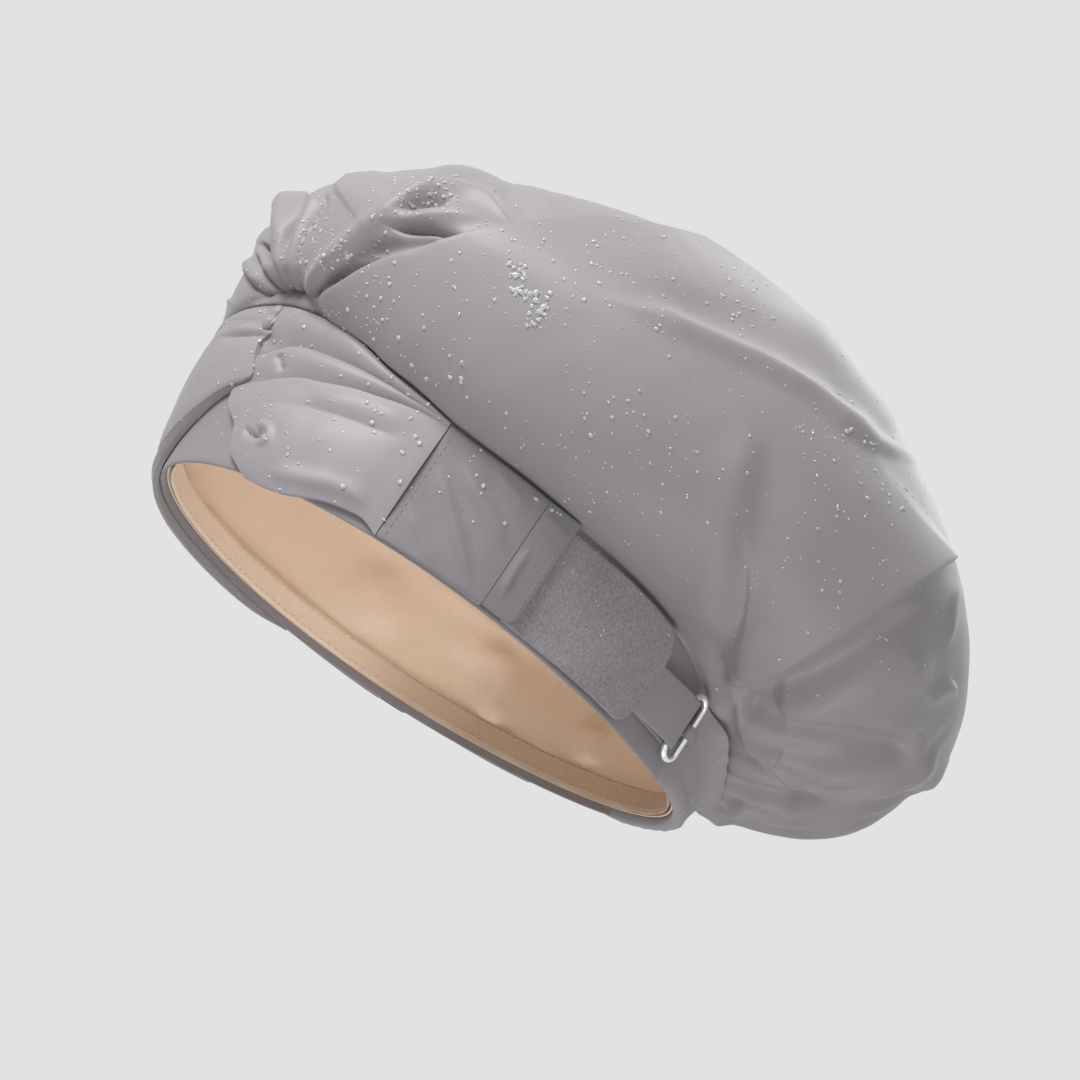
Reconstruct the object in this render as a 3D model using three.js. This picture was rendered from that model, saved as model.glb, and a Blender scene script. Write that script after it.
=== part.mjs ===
import * as THREE from 'three';

// A draped shower cap that stands on its rim, in millimetres. Z is up, the forehead side faces
// -Y and the wearer's left is +X. The origin is the centre of the head opening, on the rim plane.

// Head opening and band
const openingLength = 185;
const openingWidth = 151;
const bandHeight = 42;
const clothThickness = 1.2;
const layerGap = 0.4;
const backPinchShare = 0.22;
const frontLean = 9;
const frontLeanHeight = 50;

// Crown
const crownLength = 264;
const crownWidth = 210;
const crownHeight = 159;
const crownSetBack = 22.5;
const crownWidestHeight = 86;
const crownWidestHeightBack = 61;
const crownPeakY = 24;
const crownWall = 1.4;
const liningWall = 1;
const liningLooseness = 5;

// Folds of the crown: how far each stands out, and its width
const wrapFoldHeight = 5;
const wrapShelfWidth = 28;
const wrapLipWidth = 4;
const ridgeHeight = 2;
const gatherHeight = 5;
const pleatHeight = 4;
const knotHollowDepth = 4;
const knotHollowReach = 12;
const foldWidth = 12;
const pleatWidth = 5.5;
const foldBlend = 30;

// Front pleats: how far each puffs out, and the waves in the lowest edge
const lowerPuff = 6;
const middlePuff = 4.2;
const upperPuff = 2.7;
const rightLowerPuff = 5;
const rightUpperPuff = 3;
const scallopHeight = 0.9;
const scallops = 2;
const knotTackWidth = 7;
const knotTackHeight = 9;
const knotTackThickness = 3;

// Closure on each side
const flapLength = 11.5;
const flapHeight = 33;
const flapThickness = 0.9;
const hookLength = 7.6;
const hookThickness = 0.7;
const hookRim = 2.5;
const loopPanelThickness = 1.1;
const loopUnderlap = 3.5;
const loopPanelHeight = 36;
const loopPanelRound = 6;
const loopPanelDrop = 1.8;
const strapWidth = 17;
const strapThickness = 0.8;
const strapTuck = 12;
const ringLength = 24;
const ringPitch = 6;
const wireDiameter = 2;
const ringSlack = 0.3;
const ringFoot = 4;
const tabLength = 5.5;

// Gathered casing at the nape and the elastic in it
const casingDepth = 5.5;
const casingWall = 1;
const casingPucker = 1;
const casingPuckerPitch = 8;
const elasticThickness = 1.4;
const elasticWidth = 7;
const elasticInset = 1.5;
const elasticSlack = 0.3;
const facingHeight = 9;
const facingThickness = 0.8;

// Angles round the opening, in degrees: 0 is the forehead, 90 the wearer's left, 180 the nape
const knotAngle = 18;
const panelFrontAngle = 70;
const flapSeamAngle = 92;
const loopPanelBackAngle = 125.4;
const frontBarAngle = 141.3;
const casingAngle = 150;
const quarterTurn = 90;
const halfTurn = 180;
const fullTurn = 360;

// The way the folds are laid out: seen from the left, a little from the front and below
const seenTurn = 4;
const seenDrop = 16;

// Height of the band's top edge round the opening, as shares of the band's height
const bandTopShares = [
  [-180, 0.27], [-165, 0.38], [-150, 0.6], [-141, 0.74], [-126, 0.84], [-99, 0.9], [-70, 0.985],
  [-40, 1.03], [-12, 1.12], [4, 1.22], [19, 1.31], [34, 1.28], [44, 1.21], [53, 1.12], [70, 0.985],
  [99, 0.9], [126, 0.84], [141, 0.74], [150, 0.6], [165, 0.38], [180, 0.27],
];
// How much of the front's outward lean each angle has
const frontLeanShares = [
  [-180, 0], [-69, 0], [-50, 0.45], [-28, 0.88], [-5, 1], [6, 0.9], [14, 0.58], [24, 0.3], [40, 0.12],
  [66, 0], [180, 0],
];
// Top edges of the front pleats, and the rolled lower edge of the right one, by the same shares
const lowerPleatTopShares = [[18, 0.52], [30, 0.74], [50, 0.9], [70, 0.925]];
const middlePleatTopShares = [[18, 1.02], [38, 1], [70, 0.955]];
const rightPleatTopShares = [[-70, 0.9], [-30, 0.94], [0, 0.97], [18, 1.02]];
const rightPleatFootShares = [[-70, 0.08], [-12, 0.06], [0, 0.12], [10, 0.32], [18, 0.52]];

// Places on the crown in that view: along and up, as shares of the crown's length
const knotShare = [-0.336, 0.241];
const gatherShare = [0.292, 0.16];
const wrapFoldShares = [
  knotShare, [-0.27, 0.369], [-0.191, 0.453], [-0.098, 0.517], [0.008, 0.564], [0.099, 0.59],
];
const sideRidgeShares = [[-0.054, 0.452], [0.066, 0.479], [0.188, 0.5], [0.35, 0.493]];
const upperRidgeShares = [[0.105, 0.584], [0.204, 0.551], [0.294, 0.519], [0.353, 0.493]];
const sideHollowShares = [[0.276, 0.196], [0.252, 0.263], [0.203, 0.366], [0.162, 0.447]];
const gatherRidgeShares = [
  [gatherShare, [0.322, 0.179], [0.375, 0.283], [0.415, 0.365], [0.449, 0.43]],
  [gatherShare, [0.375, 0.181], [0.467, 0.209], [0.53, 0.237]],
  [[0.333, 0.103], [0.388, 0.1], [0.457, 0.1]],
];
const fanPleatShares = [
  [knotShare, [-0.377, 0.285], [-0.417, 0.331]],
  [knotShare, [-0.364, 0.31], [-0.405, 0.375]],
  [knotShare, [-0.341, 0.319], [-0.375, 0.385]],
  [knotShare, [-0.316, 0.319], [-0.335, 0.389]],
];

const colours = {
  shell: [0x96918f, 0.5, 0],
  band: [0x858085, 0.7, 0],
  lining: [0xd8b395, 0.6, 0],
  facing: [0xb98f6c, 0.7, 0],
  loop: [0x7c787c, 0.95, 0],
  hook: [0x5c595c, 0.8, 0],
  elastic: [0xe8e4e0, 0.8, 0],
  wire: [0xd9d9dc, 0.3, 1],
};

const rad = THREE.MathUtils.degToRad;
const { clamp, lerp, smoothstep } = THREE.MathUtils;

// Value of a table of [angle, share] at an angle, on a smooth curve through its rows
function eased(table, angle) {
  const last = table.length - 1;
  if (angle <= table[0][0]) return table[0][1];
  if (angle >= table[last][0]) return table[last][1];
  const i = table.findIndex((row) => row[0] > angle) - 1;
  const slope = (k) => {
    const [a, b] = [table[Math.max(k - 1, 0)], table[Math.min(k + 1, last)]];
    return (b[1] - a[1]) / (b[0] - a[0]);
  };
  const span = table[i + 1][0] - table[i][0];
  const u = (angle - table[i][0]) / span;
  const rise = u * u * (3 - 2 * u);
  const bend = span * u * (1 - u) * (slope(i) * (1 - u) - slope(i + 1) * u);
  return lerp(table[i][1], table[i + 1][1], rise) + bend;
}

function bandTop(angle) {
  return bandHeight * eased(bandTopShares, angle);
}

// The outline of the opening, narrowed towards the nape
function opening(angle) {
  const a = rad(angle);
  const back = (1 - Math.cos(a)) / 2;
  const pinch = 1 - backPinchShare * back * back;
  return new THREE.Vector2((openingWidth / 2) * Math.sin(a) * pinch, -(openingLength / 2) * Math.cos(a));
}

// A step in degrees that is small enough to take a direction from
const smallTurn = 0.01;

function openingNormal(angle) {
  const along = opening(angle + smallTurn).sub(opening(angle - smallTurn)).normalize();
  return new THREE.Vector2(along.y, -along.x);
}

// A point on the band, a distance out from its face, which leans out at the front
function onBand(angle, out, z) {
  const turn = ((angle + halfTurn) % fullTurn + fullTurn) % fullTurn - halfTurn;
  const lean = frontLean * eased(frontLeanShares, turn) * clamp(z / frontLeanHeight, 0, 1);
  const p = opening(angle).addScaledVector(openingNormal(angle), out + lean);
  return new THREE.Vector3(p.x, p.y, z);
}

// The angle that lies a distance round the outline from another angle
function stepRound(angle, distance) {
  const steps = 24;
  let a = angle;
  for (let i = 0; i < steps; i++) {
    const perDegree = opening(a + smallTurn).distanceTo(opening(a - smallTurn)) / (2 * smallTurn);
    a += distance / steps / perDegree;
  }
  return a;
}

// A closed solid from two matching grids of points, outer and inner, over the unit square
function solidPatch(outer, inner, across, up, wrapsRound = false) {
  const points = [];
  const faces = [];
  const columns = wrapsRound ? across : across + 1;
  for (const side of [outer, inner]) {
    for (let i = 0; i < columns; i++) {
      for (let j = 0; j <= up; j++) {
        const p = side(i / across, j / up);
        points.push(p.x, p.y, p.z);
      }
    }
  }
  const at = (side, i, j) => side * columns * (up + 1) + (i % columns) * (up + 1) + j;
  const quad = (a, b, c, d) => faces.push(a, b, c, a, c, d);
  for (let i = 0; i < across; i++) {
    for (let j = 0; j < up; j++) {
      quad(at(0, i, j), at(0, i + 1, j), at(0, i + 1, j + 1), at(0, i, j + 1));
      quad(at(1, i, j), at(1, i, j + 1), at(1, i + 1, j + 1), at(1, i + 1, j));
    }
    quad(at(0, i, 0), at(1, i, 0), at(1, i + 1, 0), at(0, i + 1, 0));
    quad(at(0, i, up), at(0, i + 1, up), at(1, i + 1, up), at(1, i, up));
  }
  for (let j = 0; j < up && !wrapsRound; j++) {
    quad(at(0, 0, j), at(0, 0, j + 1), at(1, 0, j + 1), at(1, 0, j));
    quad(at(0, across, j), at(1, across, j), at(1, across, j + 1), at(0, across, j + 1));
  }
  return turnedOut(points, faces);
}

// A closed dome wall: both skins close on one point each at the top
function domeWall(outer, inner, across, up) {
  const points = [];
  const faces = [];
  for (const side of [outer, inner]) {
    for (let i = 0; i < across; i++) {
      for (let j = 0; j < up; j++) {
        const p = side(i / across, j / up);
        points.push(p.x, p.y, p.z);
      }
    }
    const peak = side(0, 1);
    points.push(peak.x, peak.y, peak.z);
  }
  const skin = across * up + 1;
  const at = (side, i, j) => side * skin + (j === up ? skin - 1 : (i % across) * up + j);
  const quad = (a, b, c, d) => faces.push(a, b, c, a, c, d);
  for (let i = 0; i < across; i++) {
    for (let j = 0; j < up - 1; j++) {
      quad(at(0, i, j), at(0, i + 1, j), at(0, i + 1, j + 1), at(0, i, j + 1));
      quad(at(1, i, j), at(1, i, j + 1), at(1, i + 1, j + 1), at(1, i + 1, j));
    }
    faces.push(at(0, i, up - 1), at(0, i + 1, up - 1), at(0, i, up));
    faces.push(at(1, i + 1, up - 1), at(1, i, up - 1), at(1, i, up));
    quad(at(0, i, 0), at(1, i, 0), at(1, i + 1, 0), at(0, i + 1, 0));
  }
  return turnedOut(points, faces);
}

// A closed tube: a ring of points for each step along, capped at both ends or joined end to end
function loft(rings, joined = false) {
  const points = [];
  const faces = [];
  const n = rings[0].length;
  for (const ring of rings) for (const p of ring) points.push(p.x, p.y, p.z);
  const last = rings.length - 1;
  for (let i = 0; i < (joined ? rings.length : last); i++) {
    const next = (i + 1) % rings.length;
    for (let k = 0; k < n; k++) {
      const l = (k + 1) % n;
      faces.push(i * n + k, next * n + k, next * n + l, i * n + k, next * n + l, i * n + l);
    }
  }
  if (!joined) {
    const flat = THREE.ShapeUtils.triangulateShape(rings[0].map((p) => flattened(p, rings[0])), []);
    for (const [a, b, c] of flat) {
      faces.push(a, b, c);
      faces.push(last * n + a, last * n + c, last * n + b);
    }
  }
  return turnedOut(points, faces);
}

// A ring's point in the ring's own plane, for its caps
function flattened(point, ring) {
  const origin = ring[0];
  const along = ring[1].clone().sub(origin).normalize();
  const normal = new THREE.Vector3();
  for (let k = 0; k < ring.length; k++) {
    const a = ring[k].clone().sub(origin);
    const b = ring[(k + 1) % ring.length].clone().sub(origin);
    normal.add(a.cross(b));
  }
  const up = normal.normalize().cross(along);
  const d = point.clone().sub(origin);
  return new THREE.Vector2(d.dot(along), d.dot(up));
}

// Builds the geometry and makes its faces point outwards
function turnedOut(points, faces) {
  let volume = 0;
  const corner = (k) => new THREE.Vector3().fromArray(points, 3 * k);
  for (let f = 0; f < faces.length; f += 3) {
    volume += corner(faces[f]).dot(corner(faces[f + 1]).cross(corner(faces[f + 2])));
  }
  if (volume < 0) faces.reverse();
  const geometry = new THREE.BufferGeometry();
  geometry.setAttribute('position', new THREE.Float32BufferAttribute(points, 3));
  geometry.setIndex(faces);
  geometry.computeVertexNormals();
  return geometry;
}

const cap = new THREE.Group();

function add(name, geometry, colour, place = null) {
  const [color, roughness, metalness] = colours[colour];
  const material = new THREE.MeshStandardMaterial({ color, roughness, metalness });
  const mesh = new THREE.Mesh(geometry, material);
  mesh.name = name;
  if (place) mesh.applyMatrix4(place);
  cap.add(mesh);
}

// A strip that follows the band between two angles. Each setting is a function of the angle
// and, for the outer skin, of the share of the strip's height.
function bandStrip({ from, to, foot, top, inside, outside, across, up }) {
  const place = (u, v, out) => {
    const angle = lerp(from, to, u);
    return onBand(angle, out, lerp(foot(angle), top(angle), v));
  };
  return solidPatch(
    (u, v) => place(u, v, outside(lerp(from, to, u), v)),
    (u, v) => place(u, v, inside(lerp(from, to, u), v)),
    across, up,
  );
}

// Crown surface before its folds: t runs from the lower edge, at 0, to the peak, at 1
const lowerShare = 0.34;
const frontRoundShare = 0.55;
const backRoundShare = 0.72;
const peakRoundShare = 0.2;
const sideBagShare = 0.25;
const napeBagPower = 3;
const foreheadBagPower = 6;

function crownBase(angle, t) {
  const a = rad(angle);
  const back = (1 - Math.cos(a)) / 2;
  const widest = new THREE.Vector2(
    (crownWidth / 2) * Math.sin(a),
    crownSetBack - (crownLength / 2) * Math.cos(a),
  );
  const widestZ = lerp(crownWidestHeight, crownWidestHeightBack, back * back);
  if (t < lowerShare) {
    const down = 1 - t / lowerShare;
    const turn = rad(quarterTurn * down);
    const edge = onBand(angle, clothThickness, bandTop(angle) + 3 * layerGap);
    const bagged = lerp(sideBagShare, 1, back ** napeBagPower + (1 - back) ** foreheadBagPower);
    const drawnIn = lerp(down * down, 1 - Math.cos(turn), bagged);
    const sunk = lerp(down * (1 + down * (1 - down)), Math.sin(turn), bagged);
    const q = widest.clone().lerp(new THREE.Vector2(edge.x, edge.y), drawnIn);
    return new THREE.Vector3(q.x, q.y, lerp(widestZ, edge.z, sunk));
  }
  const turn = rad(quarterTurn * (t - lowerShare) / (1 - lowerShare));
  const reach = Math.cos(turn);
  const round = lerp(frontRoundShare, backRoundShare, back);
  const side = Math.hypot(1, peakRoundShare);
  const slope = (side - Math.hypot(reach, peakRoundShare)) / (side - peakRoundShare);
  const q = new THREE.Vector2(0, crownPeakY).lerp(widest, reach);
  const risen = lerp(slope, Math.sin(turn), round);
  return new THREE.Vector3(q.x, q.y, lerp(widestZ, crownHeight, risen));
}

// Where a point stands in the side view that the folds are laid out in
function seen(p, side) {
  const x = p.x * side;
  const towards = x * Math.cos(rad(seenTurn)) - p.y * Math.sin(rad(seenTurn));
  return new THREE.Vector2(
    p.y * Math.cos(rad(seenTurn)) + x * Math.sin(rad(seenTurn)),
    p.z * Math.cos(rad(seenDrop)) + towards * Math.sin(rad(seenDrop)),
  );
}

// Nearest distance from a point to a line of shares, and the side of the line that it is on
function fromLine(q, shares) {
  let best = { distance: Infinity, side: 1, along: 0 };
  for (let i = 0; i + 1 < shares.length; i++) {
    const a = new THREE.Vector2(...shares[i]).multiplyScalar(crownLength);
    const b = new THREE.Vector2(...shares[i + 1]).multiplyScalar(crownLength);
    const ab = b.clone().sub(a);
    const part = clamp(q.clone().sub(a).dot(ab) / ab.lengthSq(), 0, 1);
    const foot = a.clone().addScaledVector(ab, part);
    const distance = q.distanceTo(foot);
    if (distance < best.distance) {
      best = {
        distance,
        side: Math.sign(ab.cross(q.clone().sub(a))) || 1,
        along: (i + part) / (shares.length - 1),
      };
    }
  }
  return best;
}

// A round ridge along a line, which sinks a little towards the line's end
const ridgeFadeShare = 0.4;

function ridge(q, shares, height, width) {
  const { distance, along } = fromLine(q, shares);
  return height * Math.exp(-((distance / width) ** 2)) * (1 - ridgeFadeShare * along);
}

// How far the folds push the crown out at a point
const topCalmShare = 0.3;
const wrapStartShare = 0.12;
const wrapEndShare = 0.95;

function folds(p) {
  const left = smoothstep(p.x, 0, foldBlend);
  const outer = Math.abs(p.x) / (crownWidth / 2);
  const q = seen(p, Math.sign(p.x) || 1);
  let push = 0;
  for (const line of gatherRidgeShares) push += ridge(q, line, gatherHeight, foldWidth);
  push += ridge(q, sideRidgeShares, ridgeHeight, foldWidth);
  push += ridge(q, upperRidgeShares, ridgeHeight, foldWidth) * smoothstep(outer, 0, topCalmShare);
  push -= ridge(q, sideHollowShares, ridgeHeight, foldWidth);
  const fromLeft = seen(p, 1);
  const nearKnot = fromLeft.distanceTo(new THREE.Vector2(...knotShare).multiplyScalar(crownLength));
  const atFront = smoothstep(-p.y, 0, foldBlend);
  for (const line of fanPleatShares) push += ridge(fromLeft, line, pleatHeight, pleatWidth) * atFront;
  push -= knotHollowDepth * atFront * Math.exp(-((nearKnot / knotHollowReach) ** 2));
  const wrap = fromLine(fromLeft, wrapFoldShares);
  const shelf = wrap.side < 0
    ? Math.exp(-wrap.distance / wrapShelfWidth)
    : Math.exp(-((wrap.distance / wrapLipWidth) ** 2));
  const ends = Math.sin(Math.PI * clamp(wrap.along, wrapStartShare, wrapEndShare));
  push += wrapFoldHeight * shelf * left * ends;
  return push;
}

// A point under the crown's outer skin, with the folds that the skin there takes part in.
// The folds fade out at the lower edge and at the peak.
const edgeCalmShare = 0.113;
const peakCalmShare = 0.93;

function crownAt(angle, t, depth, foldsOf = folds) {
  const p = crownBase(angle, t);
  const step = 0.01;
  const turn = 1;
  const below = Math.min(t, 1 - step);
  const round = crownBase(angle + turn, below).sub(crownBase(angle - turn, below));
  const upward = crownBase(angle, Math.min(t + step, 1)).sub(crownBase(angle, Math.max(t - step, 0)));
  const normal = t > 1 - step ? new THREE.Vector3(0, 0, 1) : round.cross(upward).normalize();
  const free = smoothstep(t, 0, edgeCalmShare) * (1 - smoothstep(t, peakCalmShare, 1));
  return p.addScaledVector(normal, foldsOf(p) * free - depth);
}

// Angles are packed closer round the knot and the gathers at the nape
const columnPull = 14;
const columnPullPhase = 60;

function crownAngle(u) {
  const turn = fullTurn * u;
  return turn + columnPull * (1 + Math.sin(rad(turn * 2 - columnPullPhase))) - halfTurn;
}

// Columns round the crown and rows up it, the same for the shell and its lining
const crownColumns = 48;
const crownRows = 13;
const liningColumns = crownColumns / 2;

function addCrown() {
  const outer = (u, v) => crownAt(crownAngle(u), v, 0);
  const inner = (u, v) => crownAt(crownAngle(u), v, crownWall);
  add('crown_shell', domeWall(outer, inner, crownColumns, crownRows), 'shell');
}

// The lining hangs a little loose inside the band and the crown
const liningRows = crownRows + 3;

function liningAt(angle, v, depth) {
  const inset = -(layerGap + liningWall) + depth;
  const row = Math.round(v * liningRows);
  if (row === 0) return onBand(angle, inset, layerGap);
  if (row === 1) return onBand(angle, inset, facingHeight + layerGap);
  if (row === 2) return onBand(angle, inset, bandTop(angle) - 2 * layerGap);
  const t = (row - 3) / crownRows;
  const loose = smoothstep(t, 0, lowerShare) * liningLooseness;
  const under = crownWall + 4 * layerGap + loose + liningWall - depth;
  return crownAt(angle, t, under, (p) => Math.min(0, folds(p)));
}

function addLining() {
  add('crown_lining', domeWall(
    (u, v) => liningAt(crownAngle(u), v, liningWall),
    (u, v) => liningAt(crownAngle(u), v, 0),
    liningColumns, liningRows,
  ), 'lining');
  const out = -(2 * layerGap + liningWall);
  add('lining_facing', solidPatch(
    (u, v) => onBand(crownAngle(u), out, lerp(layerGap, facingHeight, v)),
    (u, v) => onBand(crownAngle(u), out - facingThickness, lerp(layerGap, facingHeight, v)),
    liningColumns, 1, true,
  ), 'facing');
}

// The base band runs from one casing end round the forehead to the other
function addBaseBand() {
  add('base_band', bandStrip({
    from: -casingAngle, to: casingAngle,
    foot: () => 0, top: bandTop,
    inside: () => 0, outside: () => clothThickness,
    across: 64, up: 1,
  }), 'band');
}

// A puffed pleat: thin at its ends and full in the middle, with a rolled top edge
const puffEndShare = 0.25;
const puffFootShare = 0.12;
const puffTopShare = 0.94;
const puffPower = 0.65;

function puff(angle, v, from, to, height) {
  const u = clamp((angle - from) / (to - from), 0, 1);
  const ends = Math.sin(Math.PI * u) ** puffPower;
  const roll = Math.sin(Math.PI * lerp(puffFootShare, puffTopShare, v)) ** puffPower;
  return clothThickness + height * roll * lerp(puffEndShare, 1, ends);
}

const pleatBase = clothThickness + layerGap;
const heightAt = (table) => (angle) => bandHeight * eased(table, angle);

function addPleat(name, from, to, foot, top, height, across) {
  add(name, bandStrip({
    from, to, foot, top,
    inside: () => pleatBase,
    outside: (angle, v) => pleatBase + puff(angle, v, from, to, height),
    across, up: 4,
  }), 'shell');
}

function addFrontPleats() {
  const side = knotTackWidth / 2 + layerGap;
  const left = stepRound(knotAngle, side);
  const right = stepRound(knotAngle, -side);
  const end = stepRound(panelFrontAngle, -layerGap);
  const lowerTop = heightAt(lowerPleatTopShares);
  const middleTop = heightAt(middlePleatTopShares);
  const upperTop = (angle) => bandTop(angle) - 2 * layerGap;
  const raised = (height) => (angle) => height(angle) + layerGap;
  const scallop = (angle) => {
    const wave = Math.cos(2 * Math.PI * scallops * (angle - left) / (end - left));
    return layerGap + scallopHeight * (1 - wave) / 2;
  };
  addPleat('left_pleat_lower', left, end, scallop, lowerTop, lowerPuff, 14);
  addPleat('left_pleat_middle', left, end, raised(lowerTop), middleTop, middlePuff, 12);
  addPleat('left_pleat_upper', left, end, raised(middleTop), upperTop, upperPuff, 12);
  const rightFoot = heightAt(rightPleatFootShares);
  const rightTop = heightAt(rightPleatTopShares);
  addPleat('right_pleat_lower', -end, right, rightFoot, rightTop, rightLowerPuff, 22);
  addPleat('right_pleat_upper', -end, right, raised(rightTop), upperTop, rightUpperPuff, 18);
}

// The sewn tack that draws the pleats and the crown together
const knotEdgeShare = 0.35;

function addKnot() {
  const reach = knotTackWidth / 2;
  const across = (u) => stepRound(knotAngle, lerp(-reach, reach, u));
  const hump = (u, v) => lerp(knotEdgeShare, 1, Math.sin(Math.PI * u) * Math.sin(Math.PI * v));
  const top = bandTop(knotAngle) - 2 * layerGap;
  const height = (v) => top - knotTackHeight * (1 - v);
  add('knot_tack', solidPatch(
    (u, v) => onBand(across(u), pleatBase + knotTackThickness * hump(u, v), height(v)),
    (u, v) => onBand(across(u), pleatBase, height(v)),
    6, 6,
  ), 'shell');
}

// Heights out from the base band of the layers at the closure
const loopInside = clothThickness + layerGap;
const hookInside = loopInside + loopPanelThickness + layerGap;
const flapInside = hookInside + hookThickness + layerGap;
const flapOutside = flapInside + flapThickness;

// A point beside the band given by distance round it, out from it and up
function beside(startAngle, round, out, z) {
  return onBand(stepRound(startAngle, round), out, z);
}

function mirrored(geometry) {
  const points = Array.from(geometry.attributes.position.array);
  for (let k = 0; k < points.length; k += 3) points[k] = -points[k];
  return turnedOut(points, Array.from(geometry.index.array));
}

function addBothSides(name, geometry, colour) {
  add(`${name}_left`, geometry, colour);
  add(`${name}_right`, mirrored(geometry), colour);
}

function addSidePanels() {
  const seam = flapSeamAngle;
  const rise = (angle) => smoothstep(angle, panelFrontAngle, seam);
  addBothSides('side_panel', bandStrip({
    from: panelFrontAngle, to: seam,
    foot: () => layerGap, top: (angle) => bandTop(angle) - layerGap,
    inside: () => clothThickness + layerGap,
    outside: (angle) => lerp(2 * clothThickness + layerGap, flapOutside, rise(angle)),
    across: 14, up: 2,
  }), 'band');
}

function addFlaps() {
  const foot = (bandTop(flapSeamAngle) - flapHeight) / 2;
  const strip = (first, last, rim, inside, outside) => {
    const height = (v) => lerp(foot + rim, foot + flapHeight - rim, v);
    return solidPatch(
      (u, v) => beside(flapSeamAngle, lerp(first, last, u), outside, height(v)),
      (u, v) => beside(flapSeamAngle, lerp(first, last, u), inside, height(v)),
      4, 1,
    );
  };
  addBothSides('hook_flap', strip(layerGap, flapLength, 0, flapInside, flapOutside), 'band');
  const hookStart = flapLength - hookLength - layerGap;
  const hook = strip(hookStart, flapLength - layerGap, hookRim, hookInside, hookInside + hookThickness);
  addBothSides('hook_tape', hook, 'hook');
}

// The loop panel ends in a round nose; the strap lies under its back end
const panelClimbShare = 0.9;
const noseGrowthPower = 3;

function addLoopPanels() {
  const start = stepRound(flapSeamAngle, flapLength - loopUnderlap);
  const top = (angle) => (bandTop(angle) + loopPanelHeight) / 2 - 2 * layerGap;
  const foot = (angle) => Math.max(2 * layerGap, (bandTop(angle) - loopPanelHeight) / 2);
  const strapRise = 2 * strapThickness + 2 * layerGap;
  const strapStart = stepRound(loopPanelBackAngle, loopPanelRound - strapTuck);
  const climbed = lerp(start, strapStart, panelClimbShare);
  const inside = (angle) => loopInside + strapRise * smoothstep(angle, start, climbed);
  const nose = (v) => loopPanelRound * Math.sqrt(Math.max(0, 1 - (2 * v - 1) ** 2));
  const place = (u, v, extra) => {
    const straight = lerp(start, loopPanelBackAngle, u);
    const angle = stepRound(straight, nose(v) * u ** noseGrowthPower);
    const highest = Math.min(top(straight), bandTop(angle) - loopPanelDrop);
    return onBand(angle, inside(straight) + extra, lerp(foot(straight), highest, v));
  };
  addBothSides('loop_panel', solidPatch(
    (u, v) => place(u, v, loopPanelThickness),
    (u, v) => place(u, v, 0),
    16, 8,
  ), 'loop');
}

// Where the ring's two long bars stand, in plan
const backBarAngle = stepRound(frontBarAngle, ringPitch);
const barOut = clothThickness + 2 * layerGap + ringSlack + strapThickness + wireDiameter / 2;
const barPlace = (angle) => onBand(angle, barOut, 0);
const strapFoot = ringFoot + (ringLength - strapWidth) / 2;

// A ribbon of even thickness round a bar, in plan, drawn up through the strap's width.
// The path lists distance round the band and height out from it.
function ribbon(barAngle, path, foot, height) {
  const outline = [];
  const skin = strapThickness / 2;
  const normals = path.map((p, i) => {
    const a = path[Math.max(i - 1, 0)];
    const b = path[Math.min(i + 1, path.length - 1)];
    const along = new THREE.Vector2(b[0] - a[0], b[1] - a[1]).normalize();
    return new THREE.Vector2(along.y, -along.x);
  });
  const onSide = (i, side) => [
    path[i][0] + side * skin * normals[i].x, path[i][1] + side * skin * normals[i].y,
  ];
  for (const i of path.keys()) outline.push(onSide(i, 1));
  for (const i of [...path.keys()].reverse()) outline.push(onSide(i, -1));
  const ring = (z) => outline.map(([round, out]) => beside(barAngle, round, out, z));
  return loft([ring(foot), ring(foot + height)]);
}

// The climb of a ribbon from where it lies flat to its bar: share of the way, share of flatness
const climbShares = [[1, 1], [0.6, 0.65], [0.25, 0.1]];

// The path of a ribbon that comes in over a bar, turns round it and goes back underneath.
// It lies flat from its far end to where it starts to climb to the bar.
function turnRound(reach, climb, direction) {
  const under = clothThickness + layerGap + strapThickness / 2;
  const over = under + strapThickness + layerGap;
  const bend = wireDiameter / 2 + layerGap + strapThickness / 2;
  const leads = [[reach, 1], [(reach + climb) / 2, 1]];
  for (const [way, flat] of climbShares) leads.push([climb * way, flat]);
  const side = (from, to) => leads.map(([round, flat]) => [direction * round, lerp(from, to, flat)]);
  const turns = 8;
  const bends = [];
  for (let i = 0; i <= turns; i++) {
    const a = Math.PI * i / turns;
    bends.push([-direction * bend * Math.sin(a), barOut + bend * Math.cos(a)]);
  }
  return [...side(barOut + bend, over), ...bends, ...side(barOut - bend, under).reverse()];
}

function addStraps() {
  const nose = opening(loopPanelBackAngle).distanceTo(opening(frontBarAngle)) - loopPanelRound;
  const strapPath = turnRound(nose + strapTuck, nose - layerGap, -1);
  const tabPath = turnRound(tabLength, tabLength / 2, 1);
  addBothSides('strap', ribbon(frontBarAngle, strapPath, strapFoot, strapWidth), 'band');
  addBothSides('ring_tab', ribbon(backBarAngle, tabPath, strapFoot, strapWidth), 'shell');
}

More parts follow.
